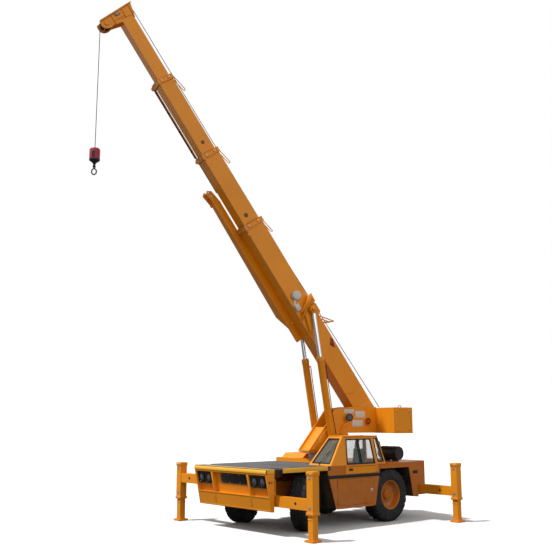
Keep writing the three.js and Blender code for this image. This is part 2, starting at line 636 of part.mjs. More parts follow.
function cabTub() {
  const rearTop = 3050;
  const skirt = [[1640, PANEL_LOW], [2905, PANEL_LOW], [3040, STRIPE_LOW], [3075, underDeck - 1],
    [3075, DECK_TOP],
    [CAB_FRONT, DECK_TOP], [CAB_FRONT, underDeck - DECK_SKIRT - SEAT_GAP],
    [1395, underDeck - DECK_SKIRT - SEAT_GAP],
    [1395, 1190]];
  const skin = alongX(skirt, half - 22, half);
  const shell = cut(box(TUB_RIGHT, half - 21, TUB_FRONT, TUB_REAR, TUB_FLOOR, DECK_TOP),
    box(TUB_RIGHT + PLATE * 2, half - 21 - PLATE, TUB_FRONT + PLATE * 2, TUB_REAR - PLATE * 2,
    TUB_FLOOR + PLATE * 2, DECK_TOP + 1));
  const sill = box(TUB_RIGHT, half - 21, CAB_FRONT, TUB_FRONT + 1, underDeck - 40, DECK_TOP);
  const brackets = box(RAIL_X + RAIL_WIDTH / 2 + SEAT_GAP, TUB_RIGHT + 1, TUB_FRONT + 150, TUB_REAR - 150,
    RAIL_TOP - 120, RAIL_TOP);
  const rearDeck = box(TUB_RIGHT, half - 21, TUB_REAR - 1, REAR_BODY_FRONT - SEAT_GAP, DECK_TOP - 60,
    DECK_TOP);
  const doorWay = alongX(doorOutline(DOOR_GAP), half - 60, half + 50);
  const hatch = box(half - 11, half + 1, HATCH_FRONT - DOOR_GAP, HATCH_REAR + DOOR_GAP, PANEL_LOW + 45,
    STRIPE_LOW - 20);
  return cut(join(skin, shell, sill, brackets, rearDeck), doorWay, hatch);
}
place('cab_tub', cabTub(), YELLOW);
place('side_hatch', join(box(half - 10.5, half + 2, HATCH_FRONT, HATCH_REAR, PANEL_LOW + 52, STRIPE_LOW - 27),
  hingeBarrel(HINGE_X, HATCH_FRONT - DOOR_GAP / 2, -1, 480, 620),
  hingeBarrel(HINGE_X, HATCH_FRONT - DOOR_GAP / 2, -1, 850, 990)), YELLOW);

place('seat', join(box(730, 1090, 2270, 2680, TUB_FLOOR + PLATE * 2 + SEAT_GAP, 1190),
  alongX([[2590, 1180], [2680, 1180], [2770, 1650], [2700, 1670]], 730, 1090)), SEAT_CLOTH);

function steeringWheel() {
  const foot = V3(890, 1780, TUB_FLOOR + PLATE * 2 + 40);
  const top = V3(890, 2080, 1400);
  const axis = top.clone().sub(foot).normalize();
  const ring = new THREE.TorusGeometry(180, 14, 6, 24);
  ring.applyQuaternion(new THREE.Quaternion().setFromUnitVectors(V3(0, 0, 1),
    axis)).translate(...top.toArray());
  const spoke = bar(top.clone().add(V3(-175, 0, 0)), top.clone().add(V3(175, 0, 0)), 12, 12);
  const plinth = box(810, 970, 1735, 1850, TUB_FLOOR + PLATE * 2 + SEAT_GAP, 900);
  return join(plinth, bar(foot, top, 26, 16), solid(ring), spoke);
}
place('steering_wheel', steeringWheel(), BLACK);

// Right-hand housing behind the load deck, with its step and sloped front.
const HOOD_TOP = 1500;
function rightHood() {
  const profile = [[DECK_REAR + SEAT_GAP, underDeck - DECK_SKIRT], [DECK_REAR + SEAT_GAP, 1402],
    [2260, 1402], [2370, HOOD_TOP],
    [3050, HOOD_TOP], [3050, underDeck - DECK_SKIRT]];
  const side = alongX(profile, -half, -RAIL_X - 75);
  const step = box(-RAIL_X - 80, 20, DECK_REAR + SEAT_GAP, DECK_REAR + 28, underDeck, 1402);
  const cavity = box(-half + PLATE, -RAIL_X - 90, DECK_REAR + 30, 3020, underDeck - DECK_SKIRT - 1, 1385);
  return join(cut(side, cavity), step);
}
place('right_hood', rightHood(), YELLOW);

// Tank under the right-hand housing, hung on two arms from the frame rail.
const TANK_BOTTOM = 520;
const TANK_TOP = 1130;
const TANK_CHAMFER = 60;
function sideTank() {
  const [x0, x1, c] = [-half + 20, -620, TANK_CHAMFER];
  const ends = [[x0 + c, TANK_BOTTOM], [x1 - c, TANK_BOTTOM], [x1, TANK_BOTTOM + c], [x1, TANK_TOP - c],
    [x1 - c, TANK_TOP],
    [x0 + c, TANK_TOP], [x0, TANK_TOP - c], [x0, TANK_BOTTOM + c]];
  const arms = [1900, 2560].map((y) => box(x1 - 1, -RAIL_X - RAIL_WIDTH / 2 - SEAT_GAP, y, y + 80,
    RAIL_TOP - 120, RAIL_TOP - 20));
  return join(alongY(ends, 1720, 2810), ...arms);
}
place('side_tank', sideTank(), YELLOW);

// Rear body over the rear wheels, with the side plates behind them.
const ARCH_REAR = 4090;
function rearBody() {
  const top = box(-half, half, REAR_BODY_FRONT, BODY_REAR, BODY_BOTTOM, DECK_TOP);
  const hollow = box(-half + 30, half - 30, REAR_BODY_FRONT + 30, BODY_REAR - 30, BODY_BOTTOM - 1,
    DECK_TOP - 14);
  const tail = box(-tailHalf, tailHalf, BODY_REAR - 1, TAIL_REAR, PANEL_LOW + 100, DECK_TOP);
  const tailHollow = box(-tailHalf + 25, tailHalf - 25, BODY_REAR - 60, TAIL_REAR - 25, PANEL_LOW + 99,
    DECK_TOP - 14);
  const rearSlot = box(-HOUSING_X - 40, HOUSING_X + 40, REAR_POST_Y - POST_NOTCH, REAR_POST_Y + POST_NOTCH,
    450, 1290);
  const plates = [-1, 1].map((side) => alongX([[ARCH_REAR, BODY_BOTTOM + 1], [4230, 517], [4417, 498],
    [BODY_REAR, BODY_BOTTOM + 1]],
    side > 0 ? half - 30 : -half, side > 0 ? half : -half + 30));
  const gussets = [-1, 1].map((side) => box(side > 0 ? tailHalf - 1 : -half, side > 0 ? half : -tailHalf + 1,
    4390, 4415, 520, BODY_BOTTOM + 1));
  const rails = [-1, 1].map((side) => box(side * RAIL_X - 45, side * RAIL_X + 45, 3300, 4200,
    RAIL_TOP + SEAT_GAP, DECK_TOP - 10));
  return join(cut(join(top, tail), hollow, tailHollow, rearSlot), ...plates, ...gussets, ...rails);
}
place('rear_body', rearBody(), YELLOW);

const engineHalf = RAIL_X - RAIL_WIDTH / 2 - SEAT_GAP;
place('engine', box(-engineHalf, engineHalf, 3380, 4100, 800, 1180), STEEL);

function airCleaner() {
  const x0 = 470;
  const x1 = 1010;
  const y = 4020;
  const z = 1505;
  const drum = barX(x0, x1, y, z, 165, 32);
  const cap = barX(x0 - 60, x0 + 1, y, z, 120, 24);
  const feet = [x0 + 110, x1 - 130].map((x) => box(x, x + 40, y - 90, y + 90, DECK_TOP + SEAT_GAP, z - 60));
  return join(drum, cap, ...feet);
}
place('air_cleaner', airCleaner(), BLACK);

// ---------------------------------------------------------------- turret

function slewRing() {
  return turnedZ([[0, underDeck], [RING_RADIUS + 15, underDeck], [RING_RADIUS + 15, DECK_TOP + 40],
    [RING_RADIUS, DECK_TOP + 60], [RING_RADIUS, RING_TOP], [0, RING_TOP]], 32).translate([0, SLEW_Y, 0]);
}
place('slew_ring', slewRing(), STEEL);

function turretBody() {
  const cheek = [[500, TURRET_BOTTOM + 35], [-30, 2285], [-218, 2531], [-442, 2568], [-620, TURRET_TOP],
    [TURRET_TAIL, TURRET_TOP], [TURRET_TAIL, TAIL_BOTTOM], [-520, TAIL_BOTTOM], [-430, TURRET_BOTTOM + 35]];
  const inner = CHEEK_OUT - CHEEK_PLATE;
  const cheeks = [-1, 1].map((side) => across(cheek, side > 0 ? inner : -CHEEK_OUT,
    side > 0 ? CHEEK_OUT : -inner));
  const base = turnedZ([[0, RING_TOP + SEAT_GAP], [RING_RADIUS + 20, RING_TOP + SEAT_GAP],
    [RING_RADIUS + 20, TURRET_BOTTOM + 40], [0, TURRET_BOTTOM + 40]], 40);
  const nose = across([[505, TURRET_BOTTOM], [505, TURRET_BOTTOM + 36], [300, TURRET_BOTTOM + 36],
    [300, TURRET_BOTTOM]], -inner - 10, inner + 10);
  const front = across([[440, TURRET_BOTTOM + 30], [35, 2120], [15, 2120], [410, TURRET_BOTTOM + 30]],
    -inner - 1, inner + 1);
  const rear = across([[-430, TURRET_BOTTOM + 30], [-520, TAIL_BOTTOM + 30], [-550, TAIL_BOTTOM + 30],
    [-460, TURRET_BOTTOM + 30]],
    -inner - 1, inner + 1);
  const floor = across([[-520, TAIL_BOTTOM], [-520, TAIL_BOTTOM + 30], [TURRET_TAIL, TAIL_BOTTOM + 30],
    [TURRET_TAIL, TAIL_BOTTOM]], -inner - 1, inner + 1);
  const bore = barX(-CHEEK_OUT - 5, CHEEK_OUT + 5, -PIN_Q, PIN_Z, PIN_RADIUS + RUN_GAP, 32);
  const liftPins = [-1, 1].map((side) => barX(side > 0 ? inner : -LIFT_S - 75,
    side > 0 ? LIFT_S + 75 : -inner,
    -FOOT_Q, FOOT_Z, FOOT_PIN, 16));
  return join(cut(join(...cheeks, base, nose, front, rear, floor), bore), ...liftPins);
}
place('turret', turretBody(), YELLOW, turretGroup);

function counterweight() {
  const front = TURRET_TAIL - SEAT_GAP;
  const back = TURRET_TAIL - WEIGHT_LENGTH;
  const block = box(-WEIGHT_WIDTH / 2, WEIGHT_WIDTH / 2, -front, -back, WEIGHT_BOTTOM, WEIGHT_TOP);
  const bay = box(-WINCH_BAY / 2, WINCH_BAY / 2, -front - 1, -back - 40, WEIGHT_BOTTOM + 190, WEIGHT_TOP + 1);
  const bore = barX(-WINCH_BAY / 2 - 60, WINCH_BAY / 2 + 60, -DRUM_Q, DRUM_Z, 30 + RUN_GAP, 20);
  return cut(block, bay, bore);
}
place('counterweight', counterweight(), YELLOW, turretGroup);

function winchDrum() {
  const l = DRUM_LENGTH / 2;
  const outline = [[0, -l - 75], [30, -l - 75], [30, -l], [DRUM_FLANGE, -l], [DRUM_FLANGE, -l + 15],
    [DRUM_RADIUS, -l + 15],
    [DRUM_RADIUS, l - 15], [DRUM_FLANGE, l - 15], [DRUM_FLANGE, l], [30, l], [30, l + 75], [0, l + 75]];
  return turnedX(outline, 24).translate([0, -DRUM_Q, DRUM_Z]);
}
place('winch_drum', winchDrum(), STEEL, turretGroup);

// ---------------------------------------------------------------- boom

const sectionBox = (section, grow, front, rear) => box(-section.width / 2 - grow, section.width / 2 + grow,
  -front, -rear, BOOM_AXIS - section.height / 2 - grow, BOOM_AXIS + section.height / 2 + grow);

function tube(section) {
  return cut(sectionBox(section, 0, section.front, section.rear),
    sectionBox(section, -BOOM_WALL, section.front + 1, section.rear - 1));
}

// A collar closes the end of one section round the next one, which slides through it.
function collar(section, next) {
  return cut(sectionBox(section, COLLAR, section.front, section.front - COLLAR_LENGTH),
    sectionBox(next, RUN_GAP, section.front + 1, section.front - COLLAR_LENGTH - 1));
}

// Wear pads at the rear end of a section run inside the one before it.
function rearPads(section, outer) {
  const reachX = outer.width / 2 - BOOM_WALL - RUN_GAP;
  const reachZ = outer.height / 2 - BOOM_WALL - RUN_GAP;
  const band = box(-reachX, reachX, -section.rear - PAD_LENGTH, -section.rear, BOOM_AXIS - reachZ,
    BOOM_AXIS + reachZ);
  return cut(band, sectionBox(section, -BOOM_WALL, section.rear + PAD_LENGTH + 1, section.rear - 1));
}

function baseSection() {
  const [base, next] = SECTIONS;
  const high = BOOM_AXIS + base.height / 2;
  const heel = across([[-200, 60], [100, high + 1], [-200, high + 1]], -base.width, base.width);
  const pins = [-1, 1].map((side) => barX(side > 0 ? base.width / 2 - 2 : -CHEEK_OUT - 12,
    side > 0 ? CHEEK_OUT + 12 : -base.width / 2 + 2, 0, 0, PIN_RADIUS, 32));
  const bosses = [-1, 1].map((side) => barX(side > 0 ? base.width / 2 - 2 : -CHEEK_OUT + CHEEK_PLATE + 2,
    side > 0 ? CHEEK_OUT - CHEEK_PLATE - 2 : -base.width / 2 + 2, 0, 0, 95, 32));
  const inner = base.width / 2 - 1;
  const eyeSeats = [-1, 1].map((side) => across([[EYE_T - 430, EYE_N - 320], [EYE_T + 60, EYE_N - 180],
    [EYE_T + 160, EYE_N + 120],
    [EYE_T + 60, EYE_N + 190], [EYE_T - 160, EYE_N + 190]], side > 0 ? inner : -LIFT_S + 92,
    side > 0 ? LIFT_S - 92 : -inner));
  return join(cut(join(tube(base), collar(base, next)), heel), ...pins, ...bosses, ...eyeSeats);
}
place('boom_base_section', baseSection(), YELLOW, boomGroup);

// Rod on the right side of the third section's collar, which runs past the collars behind it.
function extensionRod(section) {
  const x = -SECTIONS[0].width / 2 - COLLAR - 32;
  const front = section.front - 20;
  const lug = box(x - 30, -section.width / 2 - 2, -front, -front + 80, -75, 15);
  return join(lug, bar(V3(x, -front - 30, -30), V3(x, -7450, -30), 24, 14),
    bar(V3(x, -7460, -30), V3(x, -6500, -30), 13, 10));
}

function slidingSection(index) {
  const section = SECTIONS[index];
  const next = SECTIONS[index + 1];
  const parts = [tube(section), rearPads(section, SECTIONS[index - 1])];
  if (next) parts.push(collar(section, next));
  if (index === 2) parts.push(extensionRod(section));
  return join(...parts);
}
place('boom_second_section', slidingSection(1), YELLOW, boomGroup);
place('boom_third_section', slidingSection(2), YELLOW, boomGroup);
place('boom_fourth_section', slidingSection(3), YELLOW, boomGroup);

const ROPE_SLOT = 56;        // gap in the front of the head, where the rope passes

function boomHead() {
  const low = BOOM_AXIS - SECTIONS[3].height / 2;
  const high = BOOM_AXIS + SECTIONS[3].height / 2;
  const top = high + HEAD_RISE;
  const frontAt = (n) => HEAD_FRONT - ((top - n) / (top - HEAD_CHIN_N)) * (HEAD_FRONT - HEAD_CHIN);
  const profile = [[HEAD_FRONT, top], [HEAD_CHIN, HEAD_CHIN_N], [SHEAVE_T + 60, SHEAVE_N - 140],
    [SHEAVE_T - 50, SHEAVE_N - 138], [SHEAVE_T - 115, SHEAVE_N - 70], [SHEAVE_T - 130, SHEAVE_N + 30],
    [SHEAVE_T - 100, SHEAVE_N + 150], [HEAD_BACK - 80, low - 20],
    [HEAD_BACK - 80, low - SEAT_GAP], [HEAD_BACK + SEAT_GAP, low - SEAT_GAP],
    [HEAD_BACK + SEAT_GAP, high + SEAT_GAP],
    [HEAD_BACK - 80, high + SEAT_GAP], [HEAD_BACK - 80, high + 16]];
  const halfSection = SECTIONS[3].width / 2;
  const plates = [-1, 1].map((side) => across(profile, side > 0 ? halfSection - 2 : -halfSection - HEAD_PLATE,
    side > 0 ? halfSection + HEAD_PLATE : -halfSection + 2));
  const back = sectionBox(SECTIONS[3], -1, HEAD_BACK + 25, HEAD_BACK + SEAT_GAP);
  const brow = across([[HEAD_FRONT, top], [frontAt(high - 150), high - 150], [frontAt(high - 150) - 20, high - 150],
    [frontAt(high + 20) - 20, high + 20], [HEAD_BACK + 10, high - 10], [HEAD_BACK + 10, high + 20]],
    -halfSection - 1, halfSection + 1);
  const ropeSlot = across([[SHEAVE_T + 75, high - 170], [HEAD_FRONT + 5, high - 170], [HEAD_FRONT + 5, top + 10],
    [SHEAVE_T + 75, top + 10]], -ROPE_SLOT / 2, ROPE_SLOT / 2);
  const pin = barX(-halfSection, halfSection, -SHEAVE_T, SHEAVE_N, SHEAVE_PIN, 20);
  const spacers = [-1, 1].map((side) => barX(side > 0 ? SHEAVE_WIDTH / 2 + 1 : -halfSection + 1,
    side > 0 ? halfSection - 1 : -SHEAVE_WIDTH / 2 - 1,
    -SHEAVE_T, SHEAVE_N, 44, 20));
  return join(...plates, back, cut(brow, ropeSlot), pin, ...spacers);
}
place('boom_head', boomHead(), YELLOW, boomGroup);

function sheave() {
  const w = SHEAVE_WIDTH / 2;
  const bore = SHEAVE_PIN + RUN_GAP;
  const outline = [[bore, -w], [SHEAVE_RADIUS, -w], [SHEAVE_RADIUS - SHEAVE_GROOVE, -5],
    [SHEAVE_RADIUS - SHEAVE_GROOVE, 5],
    [SHEAVE_RADIUS, w], [bore, w]];
  return turnedX([...outline, outline[0]], 36);
}
const sheaveMesh = place('head_sheave', sheave(), BLACK, boomGroup);
sheaveMesh.position.set(0, -SHEAVE_T, SHEAVE_N);

const JIB_LOW = -262;
const JIB_HIGH = -86;
const HANGER_HIGH = BOOM_AXIS - BOOM_HEIGHT / 2 + 18;   // laps the low edge of the base section's side
const JIB_STANDOFF = 28;      // from the side of the base section, clear of its collar
const JIB_ROOT = 317;         // width behind its taper
const JIB_TIP = 172;
const JIB_WALL = 12;
function jib() {
  const side = -SECTIONS[0].width / 2;
  const inner = side - JIB_STANDOFF;
  const root = inner - JIB_ROOT;
  const tip = inner - JIB_TIP;
  const forkOuter = tip - 78;
  const plan = [[side - 15, 2450], [side - 15, 2960], [inner, 3010], [inner, 6300], [tip, 6300], [root, 3190],
    [side - 72, 2840], [side - 72, 2450]];
  const beam = alongZ(plan.map(([x, ahead]) => [x, -ahead]), JIB_LOW, JIB_HIGH);
  const inside = [[inner - JIB_WALL, 3260], [inner - JIB_WALL, 6313], [tip + JIB_WALL, 6313], [root + JIB_WALL, 3260]];
  const hollow = alongZ(inside.map(([x, ahead]) => [x, -ahead]), JIB_LOW + JIB_WALL, JIB_HIGH - JIB_WALL);
  const plate = box(forkOuter, inner, -6312, -6250, JIB_LOW, JIB_HIGH);
  const fork = [forkOuter, inner - 26].map((x) => across([[6250, JIB_LOW + 22], [6590, JIB_LOW - 38], [6650, JIB_LOW + 22],
    [6590, JIB_LOW + 122], [6250, JIB_LOW + 182]], x, x + 26));
  const hanger = across([[2480, JIB_LOW], [2540, JIB_LOW], [2540, HANGER_HIGH], [2480, HANGER_HIGH]],
    side - 16, side - SEAT_GAP);
  return join(cut(join(beam, plate), hollow), ...fork, hanger);
}
place('stowed_jib', jib(), YELLOW, boomGroup);

function cableReel() {
  const s = SECTIONS[0].width / 2 + SEAT_GAP;
  const cover = box(s, s + 120, -3470, -3180, 40, 240);
  const drum = barX(s + 119, s + 165, -3420, 170, 105, 28);
  return join(cover, drum);
}
place('cable_reel', cableReel(), WHITE, boomGroup);

// ---------------------------------------------------------------- lift cylinders

const luff = THREE.MathUtils.degToRad(LUFF);
const eyeQ = PIN_Q + EYE_T * Math.cos(luff) - EYE_N * Math.sin(luff);
const eyeZ = PIN_Z + EYE_T * Math.sin(luff) + EYE_N * Math.cos(luff);
const liftLength = Math.hypot(eyeQ - FOOT_Q, eyeZ - FOOT_Z);
const liftAngle = Math.atan2(eyeZ - FOOT_Z, eyeQ - FOOT_Q);

// A lift group has its origin on the foot pin and its Z axis along the cylinder.
for (const [hand, side] of [['left', 1], ['right', -1]]) {
  const group = new THREE.Group();
  group.position.set(side * LIFT_S, -FOOT_Q, FOOT_Z);
  group.rotation.x = Math.PI / 2 - liftAngle;
  turretGroup.add(group);
  const foot = join(bar(V3(0, 0, 70), V3(0, 0, 160), 60, 20), barX(-55, 55, 0, 0, 85, 20));
  const barrelTube = cut(bar(V3(0, 0, 150), V3(0, 0, BARREL_TOP), BARREL_RADIUS, 20),
    bar(V3(0, 0, 170), V3(0, 0, BARREL_TOP - 60), BARREL_RADIUS - 12, 20),
    bar(V3(0, 0, BARREL_TOP - 61), V3(0, 0, BARREL_TOP + 1), ROD_RADIUS + RUN_GAP, 20));
  const barrel = cut(join(foot, barrelTube), barX(-60, 60, 0, 0, FOOT_PIN + LIFT_PIN_GAP, 16));
  place(`${hand}_lift_cylinder_barrel`, barrel, YELLOW, group);
  const rod = join(bar(V3(0, 0, ROD_END), V3(0, 0, liftLength - 50), ROD_RADIUS, 20),
    bar(V3(0, 0, ROD_END), V3(0, 0, ROD_END + 60), BARREL_RADIUS - 12 - RUN_GAP, 20),
    barX(-72, 72, 0, liftLength, EYE_RADIUS, 20));
  place(`${hand}_lift_cylinder_rod`, rod, CHROME, group);
}

// ---------------------------------------------------------------- hoist

const hoist = new THREE.Group();
const sheaveQ = PIN_Q + SHEAVE_T * Math.cos(luff) - SHEAVE_N * Math.sin(luff);
const sheaveZ = PIN_Z + SHEAVE_T * Math.sin(luff) + SHEAVE_N * Math.cos(luff);
hoist.position.set(0, -(sheaveQ + SHEAVE_RADIUS - SHEAVE_GROOVE + ROPE_RADIUS + SEAT_GAP), sheaveZ);
turretGroup.add(hoist);
place('hoist_rope', bar(V3(0, 0, -ROPE_LENGTH), V3(0, 0, 0), ROPE_RADIUS, 8), STEEL, hoist);

function hookBlock() {
  const top = -ROPE_LENGTH - SEAT_GAP;
  const body = turnedZ([[0, top - BLOCK_HEIGHT], [40, top - BLOCK_HEIGHT],
    [BLOCK_RADIUS - 8, top - BLOCK_HEIGHT + 70],
    [BLOCK_RADIUS, top - BLOCK_HEIGHT + 90], [BLOCK_RADIUS, top - 20], [BLOCK_RADIUS - 20, top], [0, top]],
    28);
  const swivel = bar(V3(0, 0, top - BLOCK_HEIGHT - 90), V3(0, 0, top - BLOCK_HEIGHT + 10), 26, 16);
  const ring = new THREE.TorusGeometry(HOOK_RING, HOOK_BAR, 6, 20);
  ring.rotateX(Math.PI / 2);
  return join(body, swivel, solid(ring.translate(0, 0, top - BLOCK_HEIGHT - 90 - HOOK_RING)));
}
place('hook_block', hookBlock(), RED, hoist);

// ---------------------------------------------------------------- origin: bottom centre of the whole crane

crane.updateMatrixWorld(true);
const bounds = new THREE.Box3().setFromObject(crane, true);
crane.position.y = -(bounds.min.y + bounds.max.y) / 2;

export default crane;
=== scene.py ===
"""Finish and fittings for a carry-deck mobile crane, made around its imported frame. Lengths are in metres."""
import json
import math

import bmesh
import bpy
from mathutils import Matrix, Vector


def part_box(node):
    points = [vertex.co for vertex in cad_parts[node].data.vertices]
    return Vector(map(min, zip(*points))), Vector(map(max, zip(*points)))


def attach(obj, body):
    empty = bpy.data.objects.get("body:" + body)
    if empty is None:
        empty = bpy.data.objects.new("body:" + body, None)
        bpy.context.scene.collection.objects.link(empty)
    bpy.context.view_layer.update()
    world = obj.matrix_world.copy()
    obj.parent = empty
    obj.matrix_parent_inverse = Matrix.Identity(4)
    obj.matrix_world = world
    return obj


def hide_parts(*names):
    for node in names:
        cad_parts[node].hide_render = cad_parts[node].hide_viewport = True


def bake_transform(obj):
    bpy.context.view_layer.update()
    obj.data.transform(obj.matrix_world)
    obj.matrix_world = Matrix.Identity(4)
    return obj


bl_info = {
    "name": "Carry-deck crane finish",
    "version": (1, 0, 0),
    "blender": (4, 5, 0),
    "location": "View3D > Sidebar > Crane",
    "description": "Adds the finish and the fittings of a carry-deck mobile crane",
    "category": "Add Mesh",
}

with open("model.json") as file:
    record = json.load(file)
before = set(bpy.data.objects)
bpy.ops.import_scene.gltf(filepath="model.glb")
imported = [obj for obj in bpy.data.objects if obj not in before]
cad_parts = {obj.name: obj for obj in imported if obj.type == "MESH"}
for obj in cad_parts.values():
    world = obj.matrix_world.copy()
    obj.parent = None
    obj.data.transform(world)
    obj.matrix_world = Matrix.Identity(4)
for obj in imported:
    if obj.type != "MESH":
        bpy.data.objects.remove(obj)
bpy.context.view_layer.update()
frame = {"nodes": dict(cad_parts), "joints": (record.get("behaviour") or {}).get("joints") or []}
JOINTS = {joint["name"]: joint for joint in frame["joints"]}
SIDES = (("left", 1), ("right", -1))
ENDS = ("front", "rear")
IMAGE = 552                                       # columns of the square view


# ---------------------------------------------------------------- places

def axis_of(joint):
    return Vector(JOINTS[joint]["axis"]).normalized()


def pivot_of(joint):
    return Vector(JOINTS[joint]["pos_m"])


def frame_at(origin, x, z):
    """A right-handed frame from its X axis and its Z axis."""
    turn = Matrix((x, z.cross(x), z)).transposed().to_4x4()
    return Matrix.Translation(origin) @ turn


UP = Vector((0, 0, 1))
LEFT = -axis_of("luff")
ALONG = axis_of("second_section_slide")
POST_Y = sum(corner.y for corner in map(Vector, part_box("front_left_outrigger_leg"))) / 2
CARRIER = Matrix.Translation((0, POST_Y, 0))
SLEW_CENTRE = pivot_of("slew")
TURRET = frame_at(Vector((SLEW_CENTRE.x, SLEW_CENTRE.y, 0)), LEFT, UP)
BOOM = frame_at(pivot_of("luff"), LEFT, LEFT.cross(-ALONG))
HOIST_TOP = Vector((sum(corner[0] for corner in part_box("hoist_rope")) / 2,
                    sum(corner[1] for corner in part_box("hoist_rope")) / 2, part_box("hoist_rope")[1][2]))
HOIST_LOW = Vector((HOIST_TOP.x, HOIST_TOP.y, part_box("hoist_rope")[0][2]))
HOOK_TURN = math.radians(48.7)
HOOK = Matrix.Translation(HOIST_LOW) @ Matrix.Rotation(HOOK_TURN, 4, "Z")


def turret_point(ahead, side, up):
    return Vector((side, -ahead, up))


def boom_point(along, out, side=0.0):
    return Vector((side, -along, out))


# ---------------------------------------------------------------- sizes

POST_X = 2.207
POST_HALF = 0.085
POST_TOP = 1.31
POST_LOW = 0.49
REAR_POST = 4.558
BEAM_Z = {"left": 0.68, "right": 0.967}
HALF_WIDTH = 1.22
SKIN = 1.2185                # just under the carrier's side plates
DECK_TOP = 1.31
DECK_FRONT = -0.335
BUMPER_TOP = 1.2177
BUMPER_RAKE = -0.2232
RECESS = 0.075
CAB_LEAN = (1.08 - 1.22) / 0.62
CAB_RAKE = (2.0 - 1.49) / 0.62
BOOM_AXIS = 0.141
SECTIONS = (  # width, height, front end
    (0.424, 0.490, 5.491),
    (0.356, 0.430, 7.400),
    (0.298, 0.372, 9.375),
    (0.240, 0.314, 10.960),
)
SECTION_BODIES = ("boom_base", "boom_second", "boom_third", "boom_fourth")
COLLAR = 0.024
COLLAR_LENGTH = 0.11
CHEEK_OUT = 0.28
LIFT_SIDE = 0.38
LIFT_EYE = (2.995, 0.240)
BARREL_RADIUS = 0.083
ROD_RADIUS = 0.048
ROD_END = 1.23
SHEAVE = (11.0, -0.392)
ROPE_LINE = 0.111


# ---------------------------------------------------------------- settings

class CraneColours(bpy.types.PropertyGroup):
    """Colours that a user would change"""

    def colour(name, value, text):
        return bpy.props.FloatVectorProperty(name=name, description=text, subtype="COLOR", size=3,
                                             min=0.0, max=1.0, default=value)

    enamel: colour("Body paint", (0.86, 0.290, 0.005), "Main enamel of the carrier and the boom")
    # The deck lip's lighter enamel is the body enamel made lighter, a painted highlight on the lit lip.
    lip: colour("Deck lip", (0.90, 0.46, 0.030), "Lighter enamel of the deck lip")
    dust: colour("Dust", (0.42, 0.27, 0.13), "Dust that lies on the paint")
    black: colour("Black paint", (0.012, 0.012, 0.013), "Paint of axles, lamps and small fittings")
    grip: colour("Deck coating", (0.060, 0.059, 0.060), "Grit coating of the load deck")
    hook: colour("Hook block", (0.36, 0.012, 0.045), "Enamel of the hook block")
    white: colour("White fittings", (0.66, 0.65, 0.60), "Cable reel and blank plates")
    floor: colour("Floor", (0.87, 0.87, 0.87), "Floor of the stage")


class CraneSizes(bpy.types.PropertyGroup):
    """Sizes of the fittings"""

    def length(name, value, text):
        return bpy.props.FloatProperty(name=name, description=text, subtype="DISTANCE", unit="LENGTH",
                                       min=0.0, default=value)

    rope: length("Rope radius", 0.008, "Radius of the hoist rope")
    hose: length("Hose radius", 0.011, "Radius of a hydraulic hose")
    guard: length("Guard bar radius", 0.010, "Radius of the bars of the rope guards")
    bolt: length("Bolt size", 0.016, "Radius of a hexagon bolt head")
    gasket: length("Gasket width", 0.030, "Width of the rubber round a window")
    edge: length("Edge rounding", 0.006, "Rounding of plate edges in the finish")
    tyre_lugs: bpy.props.IntProperty(name="Tyre lugs", description="Lugs on each shoulder of a tyre",
                                     min=8, max=48, default=24)


def colours():
    return bpy.context.scene.crane_colours


def sizes():
    return bpy.context.scene.crane_sizes


# ---------------------------------------------------------------- shader maths

class Socket:
    """One value in a node tree. Arithmetic on it adds the Math nodes."""

    def __init__(self, tree, socket):
        self.tree = tree
        self.socket = socket

    def math(self, operation, *values, clamp=False):
        node = self.tree.nodes.new("ShaderNodeMath")
        node.operation = operation
        node.use_clamp = clamp
        for place, value in zip(node.inputs, values):
            link(self.tree, place, value)
        return Socket(self.tree, node.outputs[0])

    def __add__(self, other):
        return self.math("ADD", self, other)

    def __radd__(self, other):
        return self.math("ADD", other, self)

    def __sub__(self, other):
        return self.math("SUBTRACT", self, other)

    def __rsub__(self, other):
        return self.math("SUBTRACT", other, self)

    def __mul__(self, other):
        return self.math("MULTIPLY", self, other)

    def __rmul__(self, other):
        return self.math("MULTIPLY", other, self)

    def __truediv__(self, other):
        return self.math("DIVIDE", self, other)

    def clamped(self):
        return self.math("ADD", self, 0.0, clamp=True)

    def smooth(self, low, high):
        """0 below low, 1 above high and a straight ramp between them."""
        return self.math("MULTIPLY", self - low, 1.0 / (high - low), clamp=True)


def link(tree, place, value):
    if isinstance(value, Socket):
        tree.links.new(value.socket, place)
    elif value is not None:
        place.default_value = value


